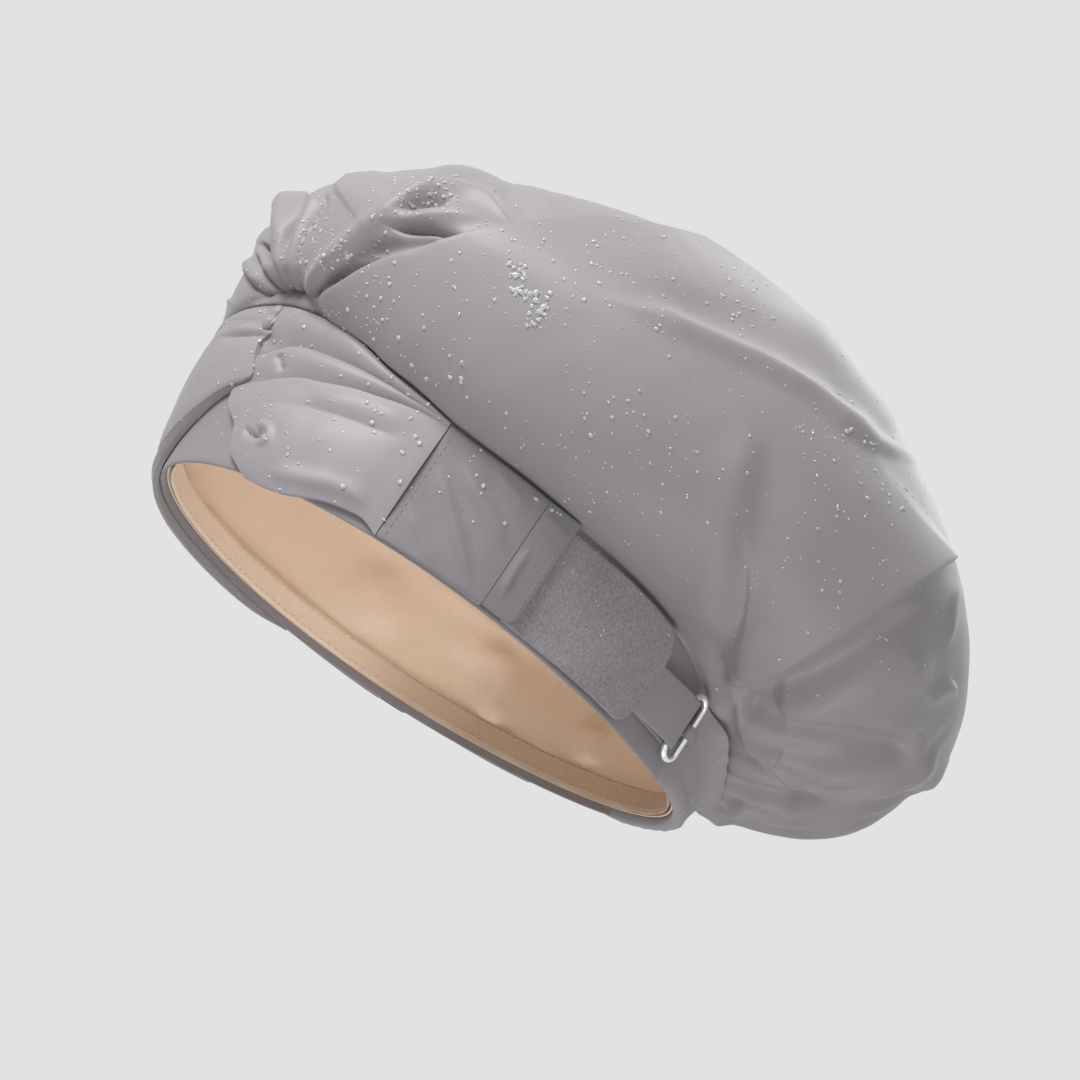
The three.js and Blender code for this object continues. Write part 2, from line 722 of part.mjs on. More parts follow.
// A wire ring with round ends, flat between its two bars
function addRings() {
  const front = barPlace(frontBarAngle);
  const back = barPlace(backBarAngle);
  const pitch = back.distanceTo(front);
  const x = back.clone().sub(front).normalize();
  const z = new THREE.Vector3(0, 0, 1);
  const y = z.clone().cross(x);
  const middle = front.clone().add(back).multiplyScalar(0.5);
  middle.z = ringFoot + ringLength / 2;
  const radius = wireDiameter / 2;
  const bar = ringLength / 2 - radius - pitch / 2;
  const bends = 8;
  const sides = 8;
  const rings = [];
  for (const end of [1, -1]) {
    for (let i = 0; i <= bends; i++) {
      const a = Math.PI * i / bends;
      const outX = end * Math.cos(a);
      const outZ = end * Math.sin(a);
      rings.push(Array.from({ length: sides }, (_, k) => {
        const wire = 2 * Math.PI * k / sides;
        const out = pitch / 2 + radius * Math.cos(wire);
        return middle.clone()
          .addScaledVector(x, out * outX)
          .addScaledVector(z, end * bar + out * outZ)
          .addScaledVector(y, radius * Math.sin(wire));
      }));
    }
  }
  addBothSides('wire_ring', loft(rings, true), 'wire');
}

// The casing is a flat tube of puckered cloth, open at both ends, with the elastic inside
function addCasing() {
  const start = stepRound(casingAngle, layerGap);
  const end = fullTurn - start;
  const steps = 40;
  const puckers = Math.round(Math.PI * opening(start).x / casingPuckerPitch);
  const rings = [];
  for (let i = 0; i <= steps; i++) {
    const angle = lerp(start, end, i / steps);
    const top = bandTop(angle > halfTurn ? angle - fullTurn : angle);
    const wave = (1 - Math.cos(2 * Math.PI * puckers * i / steps)) / 2;
    const deep = casingDepth + casingPucker * wave;
    const corners = (out0, out1, z0, z1) => [
      onBand(angle, out0, z0), onBand(angle, out1, z0), onBand(angle, out1, z1), onBand(angle, out0, z1),
    ];
    rings.push({
      outer: corners(0, deep, 0, top),
      inner: corners(casingWall, deep - casingWall, casingWall, top - casingWall),
    });
  }
  add('back_casing', openTube(rings), 'shell');
  const foot = casingWall + elasticSlack;
  const low = (casingDepth - elasticThickness) / 2;
  const first = stepRound(start, elasticInset);
  const elastic = (u, v, out) => {
    const angle = lerp(first, fullTurn - first, u);
    return onBand(angle, out, foot + elasticWidth * v);
  };
  add('back_elastic', solidPatch(
    (u, v) => elastic(u, v, low + elasticThickness),
    (u, v) => elastic(u, v, low),
    40, 1,
  ), 'elastic');
}

// A square tube with a bore, open at both ends
function openTube(rings) {
  const points = [];
  const faces = [];
  for (const { outer, inner } of rings) {
    for (const p of [...outer, ...inner]) points.push(p.x, p.y, p.z);
  }
  const quad = (a, b, c, d) => faces.push(a, b, c, a, c, d);
  const at = (i, k) => i * 8 + k;
  for (let i = 0; i + 1 < rings.length; i++) {
    for (let k = 0; k < 4; k++) {
      const l = (k + 1) % 4;
      quad(at(i, k), at(i, l), at(i + 1, l), at(i + 1, k));
      quad(at(i, 4 + k), at(i + 1, 4 + k), at(i + 1, 4 + l), at(i, 4 + l));
    }
  }
  const last = rings.length - 1;
  for (let k = 0; k < 4; k++) {
    const l = (k + 1) % 4;
    quad(at(0, k), at(0, 4 + k), at(0, 4 + l), at(0, l));
    quad(at(last, k), at(last, l), at(last, 4 + l), at(last, 4 + k));
  }
  return turnedOut(points, faces);
}

addCrown();
addLining();
addBaseBand();
addFrontPleats();
addKnot();
addSidePanels();
addFlaps();
addLoopPanels();
addStraps();
addRings();
addCasing();

export default cap;
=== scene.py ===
"""A draped shower cap on a plain studio floor, seen from the wearer's left and from below."""
import math

import bpy
import numpy as np
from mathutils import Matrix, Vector
from mathutils.bvhtree import BVHTree


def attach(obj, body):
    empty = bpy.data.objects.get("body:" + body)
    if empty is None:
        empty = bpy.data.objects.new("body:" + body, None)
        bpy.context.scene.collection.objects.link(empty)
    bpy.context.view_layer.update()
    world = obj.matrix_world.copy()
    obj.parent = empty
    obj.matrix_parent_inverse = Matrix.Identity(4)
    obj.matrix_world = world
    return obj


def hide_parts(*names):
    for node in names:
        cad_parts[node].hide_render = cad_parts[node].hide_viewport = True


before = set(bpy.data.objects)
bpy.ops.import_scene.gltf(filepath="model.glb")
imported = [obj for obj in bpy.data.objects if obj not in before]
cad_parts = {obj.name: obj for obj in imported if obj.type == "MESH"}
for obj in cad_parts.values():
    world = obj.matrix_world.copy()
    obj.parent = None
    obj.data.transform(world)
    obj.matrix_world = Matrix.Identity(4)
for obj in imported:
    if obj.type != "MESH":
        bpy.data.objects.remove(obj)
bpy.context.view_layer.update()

# Every size below is in millimetres, and a mesh is written in metres
MM = 0.001

# The cap's own sizes, as in the solids
OPENING_LENGTH = 185
OPENING_WIDTH = 151
BAND_HEIGHT = 42
BACK_PINCH_SHARE = 0.22
CLOTH = 1.2
LAYER_GAP = 0.4
CROWN_LENGTH = 264
CROWN_WIDTH = 210
CROWN_HEIGHT = 159
CROWN_SET_BACK = 22.5
WIDEST_HEIGHT = 86
WIDEST_HEIGHT_BACK = 61
PEAK_Y = 24

KNOT_ANGLE = 20
PANEL_FRONT_ANGLE = 70
FLAP_SEAM_ANGLE = 92
LOOP_PANEL_BACK_ANGLE = 125.4
FRONT_BAR_ANGLE = 141.3
CASING_ANGLE = 150
HALF_TURN = 180
FULL_TURN = 360

BAND_TOP_SHARES = [
    (-180, 0.27), (-165, 0.38), (-150, 0.6), (-141, 0.74), (-126, 0.84), (-99, 0.9), (-70, 0.985),
    (-40, 1.03), (-12, 1.12), (4, 1.22), (12, 1.29), (19, 1.32), (27, 1.31), (34, 1.28), (41, 1.25),
    (47, 1.2), (53, 1.12), (60, 1.07), (70, 0.985), (99, 0.9), (126, 0.84), (141, 0.74), (150, 0.6),
    (165, 0.38), (180, 0.27),
]
# The band leans out at the front: how much of the lean each angle has
FRONT_LEAN = 9
FRONT_LEAN_HEIGHT = 50
FRONT_LEAN_SHARES = [
    (-180, 0), (-69, 0), (-50, 0.45), (-28, 0.88), (-5, 1), (6, 0.9), (14, 0.58), (24, 0.3), (40, 0.12),
    (66, 0), (180, 0),
]

# The photograph's camera: it looks at the wearer's left, turned to the front and from below
PHOTO_SIZE = 1080
PHOTO_TURN = math.radians(4)
PHOTO_DROP = math.radians(17.5)
PHOTO_ROLL = math.radians(34)
PHOTO_DISTANCE = 1500
PHOTO_SCALE = 3.3
PHOTO_AIM = (12.9, 47.9)
SENSOR = 36


def unit(v):
    return v / np.linalg.norm(v, axis=-1, keepdims=True)


def camera_axes():
    """Right, up and towards the camera before the roll, and the point that the camera looks at."""
    turn_sin, turn_cos = math.sin(PHOTO_TURN), math.cos(PHOTO_TURN)
    drop_sin, drop_cos = math.sin(PHOTO_DROP), math.cos(PHOTO_DROP)
    right = np.array([turn_sin, turn_cos, 0])
    up = np.array([drop_sin * turn_cos, -drop_sin * turn_sin, drop_cos])
    back = np.array([drop_cos * turn_cos, -drop_cos * turn_sin, -drop_sin])
    return right, up, back, PHOTO_AIM[0] * right + PHOTO_AIM[1] * up


CAP_RIGHT, CAP_UP, TO_CAMERA, AIM = camera_axes()
IMAGE_RIGHT = math.cos(PHOTO_ROLL) * CAP_RIGHT + math.sin(PHOTO_ROLL) * CAP_UP
IMAGE_UP = -math.sin(PHOTO_ROLL) * CAP_RIGHT + math.cos(PHOTO_ROLL) * CAP_UP
CAMERA_PLACE = AIM + PHOTO_DISTANCE * TO_CAMERA


def to_photo(p):
    """Photograph pixels of points in millimetres."""
    d = p - CAMERA_PLACE
    depth = -(d @ TO_CAMERA)
    scale = PHOTO_SCALE * PHOTO_DISTANCE / depth
    x = PHOTO_SIZE / 2 + scale * (d @ IMAGE_RIGHT)
    y = PHOTO_SIZE / 2 - scale * (d @ IMAGE_UP)
    return np.stack([x, y], -1)


def eased(table, x):
    """Smooth curve through the rows of a table, as the solids use it."""
    xs, ys = np.array(table, float).T
    x = np.clip(x, xs[0], xs[-1])
    slopes = np.gradient(ys) / np.gradient(xs)
    i = np.clip(np.searchsorted(xs, x, side="right") - 1, 0, len(xs) - 2)
    span = xs[i + 1] - xs[i]
    u = (x - xs[i]) / span
    rise = u * u * (3 - 2 * u)
    bend = span * u * (1 - u) * (slopes[i] * (1 - u) - slopes[i + 1] * u)
    return ys[i] + (ys[i + 1] - ys[i]) * rise + bend


def smooth(x, low, high):
    u = np.clip((x - low) / (high - low), 0, 1)
    return u * u * (3 - 2 * u)


def mix(a, b, u):
    return a + (b - a) * u


def wrapped(angle):
    """The same angle, from -180 to 180 degrees."""
    return (np.asarray(angle) + HALF_TURN) % FULL_TURN - HALF_TURN


def band_top(angle):
    return BAND_HEIGHT * eased(BAND_TOP_SHARES, wrapped(angle))


def outline(angle):
    a = np.radians(angle)
    back = (1 - np.cos(a)) / 2
    pinch = 1 - BACK_PINCH_SHARE * back ** 2
    return np.stack([OPENING_WIDTH / 2 * np.sin(a) * pinch, -OPENING_LENGTH / 2 * np.cos(a)], -1)


def outline_normal(angle, step=0.01):
    along = unit(outline(angle + step) - outline(angle - step))
    return np.stack([along[..., 1], -along[..., 0]], -1)


def lean(angle, z):
    share = eased(FRONT_LEAN_SHARES, wrapped(angle))
    return FRONT_LEAN * share * np.clip(np.asarray(z) / FRONT_LEAN_HEIGHT, 0, 1)


def on_band(angle, out, z):
    """Points a distance out from the band's leaning face, at a height."""
    angle, out, z = np.broadcast_arrays(np.asarray(angle, float), out, z)
    p = outline(angle) + outline_normal(angle) * (out + lean(angle, z))[..., None]
    return np.concatenate([p, z[..., None]], -1)


# Distance round the opening, from the forehead, at each angle
ROUND_STEP_COUNT = 2881
ROUND_ANGLES = np.linspace(-FULL_TURN, FULL_TURN, ROUND_STEP_COUNT)
ROUND_STEPS = np.linalg.norm(np.diff(outline(ROUND_ANGLES), axis=0), axis=-1)
ROUND_LENGTHS = np.concatenate([[0], np.cumsum(ROUND_STEPS)])
ROUND_LENGTHS -= np.interp(0, ROUND_ANGLES, ROUND_LENGTHS)


def length_at(angle):
    return np.interp(angle, ROUND_ANGLES, ROUND_LENGTHS)


def step_round(angle, distance):
    """The angle that lies a distance round the outline from another angle."""
    return np.interp(length_at(angle) + distance, ROUND_LENGTHS, ROUND_ANGLES)


# Meshes

MERGE_DISTANCE = 0.02
# Edges flatter than these angles, in degrees, are shaded smooth
PATCH_SHADE_ANGLE = 50
THREAD_SHADE_ANGLE = 60
FOLD_SHADE_ANGLE = 75
ROUND_SHADE_ANGLE = 80


def new_object(name, points, faces):
    """A mesh object from points in millimetres."""
    mesh = bpy.data.meshes.new(name)
    mesh.from_pydata((np.asarray(points) * MM).tolist(), [], faces)
    mesh.update()
    piece = bpy.data.objects.new(name, mesh)
    bpy.context.collection.objects.link(piece)
    return piece


def select_only(piece):
    bpy.ops.object.select_all(action="DESELECT")
    piece.select_set(True)
    bpy.context.view_layer.objects.active = piece


def apply_modifiers(piece):
    select_only(piece)
    for modifier in list(piece.modifiers):
        bpy.ops.object.modifier_apply(modifier=modifier.name)


def face_out(piece, merge=True):
    """Outward normals, worked out after the doubles are merged and before a wall is added."""
    select_only(piece)
    bpy.ops.object.mode_set(mode="EDIT")
    bpy.ops.mesh.select_all(action="SELECT")
    if merge:
        bpy.ops.mesh.remove_doubles(threshold=MERGE_DISTANCE * MM)
    bpy.ops.mesh.normals_make_consistent(inside=False)
    bpy.ops.object.mode_set(mode="OBJECT")


def mirror(piece):
    """Points moved to the other side; the faces point inwards until face_out is called."""
    for vertex in piece.data.vertices:
        vertex.co.x = -vertex.co.x


def both_sides(build_piece, name):
    """The wearer's left piece and its mirror image."""
    left = build_piece(f"{name}_left")
    right = left.copy()
    right.data = left.data.copy()
    right.name = right.data.name = f"{name}_right"
    bpy.context.collection.objects.link(right)
    mirror(right)
    face_out(right, merge=False)
    return left, right


def shade(piece, angle=PATCH_SHADE_ANGLE):
    select_only(piece)
    bpy.ops.object.shade_smooth_by_angle(angle=math.radians(angle))


def add_wall(piece, thickness, side, angle):
    """The cloth's thickness, on the inner side at -1 or the outer one at 1, and the last shading."""
    wall = piece.modifiers.new("wall", "SOLIDIFY")
    wall.thickness = thickness * MM
    wall.offset = side
    apply_modifiers(piece)
    shade(piece, angle)


def close_at_ends(count):
    """Steps from 0 to 1 that lie closer together near both ends."""
    return (1 - np.cos(np.linspace(0, math.pi, count))) / 2


def grid_faces(columns, rows, start=0, wraps=False):
    """Faces of a grid whose points are listed column by column."""
    faces = []
    for i in range(columns if wraps else columns - 1):
        a = start + i * rows
        b = start + (i + 1) % columns * rows
        faces += [(a + j, b + j, b + j + 1, a + j + 1) for j in range(rows - 1)]
    return faces


def solid_patch(name, front, back, wraps=False):
    """A closed piece between two matching grids of points."""
    columns, rows = front.shape[:2]
    points = np.concatenate([front.reshape(-1, 3), back.reshape(-1, 3)])
    half = columns * rows
    faces = grid_faces(columns, rows, 0, wraps)
    faces += [face[::-1] for face in grid_faces(columns, rows, half, wraps)]
    for i in range(columns if wraps else columns - 1):
        a, b = i * rows, (i + 1) % columns * rows
        faces.append((a, a + half, b + half, b))
        faces.append((a + rows - 1, b + rows - 1, b + rows - 1 + half, a + rows - 1 + half))
    for j in range(0 if wraps else rows - 1):
        faces.append((j, j + 1, j + 1 + half, j + half))
        last = (columns - 1) * rows + j
        faces.append((last, last + half, last + 1 + half, last + 1))
    piece = new_object(name, points, faces)
    face_out(piece)
    shade(piece)
    return piece


def tube(name, rings, closed_ends=True):
    """A closed loft: each ring is a closed row of points."""
    count, around = rings.shape[:2]
    faces = []
    for i in range(count - 1):
        for k in range(around):
            n = (k + 1) % around
            faces.append((i * around + k, (i + 1) * around + k, (i + 1) * around + n, i * around + n))
    if closed_ends:
        faces.append(tuple(range(around))[::-1])
        faces.append(tuple((count - 1) * around + k for k in range(around)))
    piece = new_object(name, rings.reshape(-1, 3), faces)
    face_out(piece)
    shade(piece)
    return piece


def dome(name, points, top):
    """A round of columns that all end at one top point, still without a wall."""
    columns, rows = points.shape[:2]
    faces = grid_faces(columns, rows, 0, wraps=True)
    peak = columns * rows
    faces += [(i * rows + rows - 1, (i + 1) % columns * rows + rows - 1, peak) for i in range(columns)]
    piece = new_object(name, np.concatenate([points.reshape(-1, 3), [top]]), faces)
    face_out(piece)
    return piece


def grid_normals(points):
    across = np.gradient(points, axis=0)
    across[0] = across[-1] = points[1] - points[-2]
    up = np.gradient(points, axis=1)
    return unit(np.cross(across, up) + 1e-12)


def dome_normals(points):
    """Outward ways of a round of columns, straight up at its peak."""
    normals = grid_normals(np.concatenate([points, points[:1]]))[:-1]
    normals[:, -1] = normals[:, -2] = (0, 0, 1)
    return normals


# Lines of the photograph, given in its pixels, as smooth curves

def smooth_line(points, count=40):
    """A Catmull-Rom curve through the points, evenly stepped."""
    p = np.asarray(points, float)
    ends = np.concatenate([[2 * p[0] - p[1]], p, [2 * p[-1] - p[-2]]])
    u = np.linspace(0, len(p) - 1 - 1e-9, 8 * len(p))
    i = u.astype(int)
    f = (u - i)[:, None]
    a, b, c, d = ends[i], ends[i + 1], ends[i + 2], ends[i + 3]
    curve = 0.5 * (2 * b + (c - a) * f + (2 * a - 5 * b + 4 * c - d) * f ** 2
                   + (3 * b - a - 3 * c + d) * f ** 3)
    steps = np.concatenate([[0], np.cumsum(np.linalg.norm(np.diff(curve, axis=0), axis=1))])
    even = np.linspace(0, steps[-1], count)
    return np.stack([np.interp(even, steps, curve[:, k]) for k in range(curve.shape[1])], -1)


def beside_line(pixels, points):
    """Distance in millimetres from a line, positive on its right in the picture, and the share
    of the way along it."""
    line = smooth_line(points, 4 * len(points))
    best = np.full(len(pixels), 1e9)
    signed = np.zeros(len(pixels))
    along = np.zeros(len(pixels))
    for i in range(len(line) - 1):
        a, ab = line[i], line[i + 1] - line[i]
        d = pixels - a
        part = np.clip(d @ ab / (ab @ ab), 0, 1)
        off = d - part[:, None] * ab
        distance = np.hypot(off[:, 0], off[:, 1])
        nearer = distance < best
        side = np.sign(ab[0] * d[:, 1] - ab[1] * d[:, 0])
        best = np.where(nearer, distance, best)
        signed = np.where(nearer, side * distance, signed)
        along = np.where(nearer, (i + part) / (len(line) - 1), along)
    return signed / PHOTO_SCALE, along


def faded(along, fade_in, fade_out):
    rise = smooth(along, 0, fade_in) if fade_in else 1
    fall = 1 - smooth(along, 1 - fade_out, 1) if fade_out else 1
    return rise * fall


# The crown before its folds: t runs from the lower edge, at 0, to the peak, at 1

LOWER_SHARE = 0.34
FRONT_ROUND_SHARE = 0.55
BACK_ROUND_SHARE = 0.72
PEAK_ROUND_SHARE = 0.2
SIDE_BAG_SHARE = 0.25


def crown_base(angle, t):
    a = np.radians(angle)
    back = (1 - np.cos(a)) / 2
    widest = np.stack([CROWN_WIDTH / 2 * np.sin(a), CROWN_SET_BACK - CROWN_LENGTH / 2 * np.cos(a)], -1)
    widest_z = mix(WIDEST_HEIGHT, WIDEST_HEIGHT_BACK, back * back)
    edge = on_band(angle, CLOTH, band_top(angle) + 2 * LAYER_GAP)

    down = np.clip(1 - t / LOWER_SHARE, 0, 1)
    quarter = math.pi / 2
    bagged = mix(SIDE_BAG_SHARE, 1, back ** 3 + (1 - back) ** 6)
    drawn_in = mix(down * down, 1 - np.cos(quarter * down), bagged)
    sunk = mix(down * (1 + down * (1 - down)), np.sin(quarter * down), bagged)
    low_plan = mix(widest, edge[..., :2], drawn_in[..., None])
    low_z = mix(widest_z, edge[..., 2], sunk)

    turn = quarter * np.clip((t - LOWER_SHARE) / (1 - LOWER_SHARE), 0, 1)
    reach = np.cos(turn)
    rounding = mix(FRONT_ROUND_SHARE, BACK_ROUND_SHARE, back)
    side = math.hypot(1, PEAK_ROUND_SHARE)
    slope = (side - np.hypot(reach, PEAK_ROUND_SHARE)) / (side - PEAK_ROUND_SHARE)
    peak = np.array([0, PEAK_Y])
    high_plan = mix(peak, widest, reach[..., None])
    high_z = mix(widest_z, CROWN_HEIGHT, mix(slope, np.sin(turn), rounding))

    low = (t < LOWER_SHARE)[..., None]
    plan = np.where(low, low_plan, high_plan)
    z = np.where(low[..., 0], low_z, high_z)
    return np.concatenate([plan, z[..., None]], -1)


# Folds of the crown in the photograph, in its pixels. A ridge or crease is
# (points, height, width, fade in, fade out). A lap is a layer that lies over its neighbour on the
# right of its line: (points, height, how far it falls away, lip, fade in, fade out).

KNOT = (290, 306)
GATHER = (710, 668)

SIDE_RIDGES = [
    ([(596, 293), (632, 310), (657, 319), (700, 336), (750, 356), (797, 380), (819, 392), (846, 415),
      (877, 441), (913, 458), (935, 480)], 3.2, 3.4, 0.25, 0.3),
    ([(620, 284), (700, 308), (760, 332), (810, 360), (850, 392), (885, 425)], -2.6, 6, 0.3, 0.2),
    ([(780, 310), (830, 345), (870, 395), (900, 440)], 2, 4, 0.3, 0.2),
    ([(728, 684), (755, 688), (790, 681), (830, 665), (880, 636), (930, 602)], -3.8, 4.4, 0.08, 0.25),
    ([(770, 702), (830, 698), (900, 672), (940, 652)], 3, 7, 0.1, 0.2),
    ([(738, 704), (790, 722), (850, 739), (900, 749), (925, 752)], -4, 4.2, 0.08, 0.15),
    ([(800, 758), (846, 773), (900, 770), (940, 752)], 2.8, 5, 0.3, 0.2),
    ([(778, 786), (815, 803), (855, 812), (900, 800), (930, 780)], -3, 4, 0.2, 0.2),
    ([(745, 402), (745, 440), (740, 490), (727, 540), (716, 588), (705, 636)], 1.3, 7.5, 0.35, 0.1),
    ([(769, 420), (767, 470), (757, 530), (745, 590), (731, 645)], -2.1, 8.5, 0.35, 0.15),
    ([(722, 700), (728, 735), (715, 765), (695, 785)], -2.2, 3, 0.1, 0.3),
    ([(711, 700), (712, 730), (700, 757), (682, 775)], 1.6, 2, 0.2, 0.3),
    ([(667, 793), (687, 798), (702, 806), (718, 813), (736, 809), (754, 806), (785, 813), (816, 820)],
     2.6, 2, 0.1, 0.2),
    ([(958, 576), (952, 610), (946, 649)], 1.4, 1.4, 0.3, 0.3),
    ([(923, 705), (940, 692), (959, 686)], 1.6, 2.5, 0.3, 0.2),
]
SIDE_LAPS = [
    ([(958, 555), (923, 579), (877, 610), (816, 646), (779, 666), (748, 675), (724, 671), (708, 662)],
     4.6, 14, 0.8, 0.05, 0.14),
    ([(930, 735), (917, 732), (877, 723), (831, 714), (784, 704), (733, 689), (715, 682)],
     4.2, 9, 0.8, 0.2, 0.12),
    ([(955, 756), (947, 765), (919, 787), (873, 791), (835, 797), (799, 789), (774, 774), (753, 756),
      (738, 734), (730, 704)], 3.2, 10, 0.7, 0.1, 0.1),
    ([(786, 745), (778, 758), (768, 771)], 1.8, 5, 0.5, 0.3, 0.1),
]
KNOT_RIDGES = [
    ([(297, 300), (330, 266), (354, 244), (371, 230), (394, 214), (413, 200), (434, 188), (461, 180),
      (496, 177), (530, 184), (556, 200)], 3.4, 2.8, 0.1, 0.4),
    ([(305, 290), (345, 240), (400, 195), (450, 172), (500, 165)], 1.6, 7, 0.2, 0.3),
    ([(400, 213), (413, 204), (432, 198), (461, 194), (483, 198), (501, 211), (512, 226)],
     2.6, 1.7, 0.3, 0.35),
    ([(378, 228), (405, 222), (440, 217), (480, 218), (510, 226)], 2.6, 2.2, 0.4, 0.45),
    ([(478, 184), (505, 192), (530, 206), (554, 221)], -3.6, 2.8, 0.4, 0.4),
    ([(340, 266), (380, 250), (420, 241), (452, 239)], -2.6, 2.4, 0.4, 0.3),
    ([(320, 284), (352, 270), (384, 258)], -1.6, 1.6, 0.2, 0.2),
    ([(292, 296), (296, 262), (304, 226), (318, 190)], 2.4, 1.8, 0.3, 0.1),
    ([(283, 296), (284, 250), (287, 215), (294, 182)], 3.4, 2.6, 0.3, 0.05),
    ([(268, 284), (262, 262), (262, 240), (268, 218)], 1.8, 2, 0.3, 0.2),
    ([(258, 288), (246, 262), (244, 248)], 1.8, 1.8, 0.3, 0.3),
    ([(230, 295), (222, 303), (212, 312)], 1.8, 1.6, 0.2, 0.2),
]
KNOT_CREASES = [
    ([(396, 217), (415, 209), (436, 204), (456, 202)], 3.4, 1, 0.3, 0.3),
    ([(384, 228), (397, 229), (430, 230), (450, 234), (472, 236)], 3.8, 1, 0.3, 0.35),
    ([(302, 301), (329, 281), (373, 262), (409, 250), (447, 241)], 2.6, 1.1, 0.1, 0.1),
    ([(329, 191), (316, 214), (304, 240), (297, 267), (292, 302)], 2.6, 0.8, 0.1, 0.03),
    ([(310, 172), (312, 182), (304, 205), (294, 235), (289, 255), (286, 276), (285, 302)],
     2.6, 0.8, 0.1, 0.03),
    ([(276, 200), (279, 220), (279, 240), (279, 260), (281, 285), (285, 303)], 2.4, 0.8, 0.2, 0.03),
    ([(265, 242), (267, 255), (276, 259)], 3, 0.9, 0.2, 0.1),
    ([(255, 250), (262, 273), (273, 296), (280, 304)], 2.6, 0.8, 0.2, 0.03),
    ([(240, 268), (252, 288), (268, 302)], 1.8, 0.8, 0.3, 0.05),
]
KNOT_LAPS = [
    ([(296, 306), (305, 301), (317, 295.3), (344, 283.5), (373, 267), (409, 254), (447, 243.5), (474, 236),
      (501, 231), (530, 225.8), (569, 222.8), (604, 223.4), (654, 231), (700, 238), (745, 251), (790, 270)],
     4, 26, 0.4, 0.1, 0.35),
    ([(284, 303), (280, 279), (279, 255), (279, 235), (279, 208), (274, 190)], 2.2, 5, 0.4, 0.1, 0.1),
    ([(312, 176), (311, 186), (308, 198), (301, 218), (293, 237), (289, 256)], 2, 4, 0.4, 0.1, 0.3),
    ([(331, 190), (341, 182), (350, 174), (364, 163), (385, 156)], 2.2, 9, 0.4, 0.1, 0.3),
]
# Folds that run from the knot round the wearer's right front, as (x, z) seen from the front
FRONT_RIDGES = [
    ([(26, 62), (5, 66), (-20, 66), (-48, 62)], 3, 4, 0.3, 0.4),
    ([(27, 70), (8, 82), (-12, 92), (-34, 98)], 3, 5, 0.3, 0.4),
    ([(30, 78), (16, 96), (2, 112), (-10, 124)], 2.6, 4.5, 0.3, 0.4),
    ([(26, 66), (6, 74), (-16, 79), (-42, 80)], -2.4, 3, 0.2, 0.4),
    ([(28, 74), (12, 88), (-6, 101), (-24, 110)], -2.2, 3, 0.2, 0.4),
]
KNOT_HOLLOW = 4
KNOT_HOLLOW_REACH = 9
GATHER_HOLLOW = 4
GATHER_HOLLOW_REACH = 7
# A ridge and a crease are this much narrower at their faded ends
RIDGE_END_SHARE = 0.4
CREASE_END_SHARE = 0.5
# A lap's edge is rounded and curls over in shares of its lip
LIP_SOFTNESS = 3
LIP_CURL = 1.1
LIP_CURL_WIDTH_SHARE = 1.6
STEEPEST_EDGE = 50

# Folds are raised on cloth that faces the picture or the front, and fade out as it turns away
SEEN_TURN = (-0.45, -0.1)
FRONT_TURN = (0, 0.5)
# They also fade at the peak, and start higher behind the ring, which the cloth may not cover
PEAK_FADE_SHARES = (0.95, 1)
DIP_START_SHARES = (0.004, 0.05)
RIDGE_START_SHARE = 0.03
RING_START_SHARE = 0.085
RING_NEAR_ANGLES = (118, 134)
RING_FAR_ANGLES = (158, 172)

# The small pleats at the nape, by the angles and the shares of the height where they come and go
NAPE_PLEATS = 9
NAPE_PLEAT_HEIGHT = 1.8
NAPE_SPAN = 62
NAPE_ANGLES = (146, 158)
NAPE_START_SHARES = (0, 0.03)
NAPE_END_SHARES = (0.06, 0.4)
NAPE_WANDER = 2
NAPE_WANDER_LENGTH = 30
NAPE_WANDER_SEED = 5
# Soft unevenness of the whole crown: height, length and seed
CROWN_WAVES = [(0.5, 60, 1), (0.16, 17, 2)]

CROWN_COLUMNS = 880
CROWN_ROWS = 330
CROWN_LOW_ROWS_SHARE = 0.45
CROWN_KEEP_SHARE = 0.165
COLUMN_STEP_COUNT = 1441
# How close the crown's columns lie, by their angle: closest at the knot and the gathers
COLUMN_DENSITY = [
    (-180, 1), (-150, 1.6), (-130, 1.6), (-110, 1), (-50, 1), (-20, 2.6), (75, 2.6), (100, 1.2), (120, 2),
    (150, 2), (165, 1), (180, 1),
]
CROWN_THICKNESS = 0.8
CROWN_HEM = 4.5

RIPPLE_LENGTH_SHARES = (0.7, 1.6)
RIPPLE_GAIN = 1.6


def ripples(p, length, seed, waves=9):
    """Soft irregular waves of about a given length, from -1 to 1."""
    draw = np.random.default_rng(seed)
    total = 0
    for _ in range(waves):
        way = unit(draw.normal(size=3)) * (2 * math.pi / (length * draw.uniform(*RIPPLE_LENGTH_SHARES)))
        total = total + np.sin(p @ way + draw.uniform(0, 2 * math.pi))
    return total / waves * RIPPLE_GAIN


def line_offsets(pixels, points):
    """As beside_line, with the picture direction in which the distance grows."""
    signed, along = beside_line(pixels, points)
    step = 0.5
    dx = beside_line(pixels + [step, 0], points)[0] - signed
    dy = beside_line(pixels + [0, step], points)[0] - signed
    way = np.stack([dx, dy], -1)
    return signed, along, way / np.maximum(np.linalg.norm(way, axis=-1, keepdims=True), 1e-9)


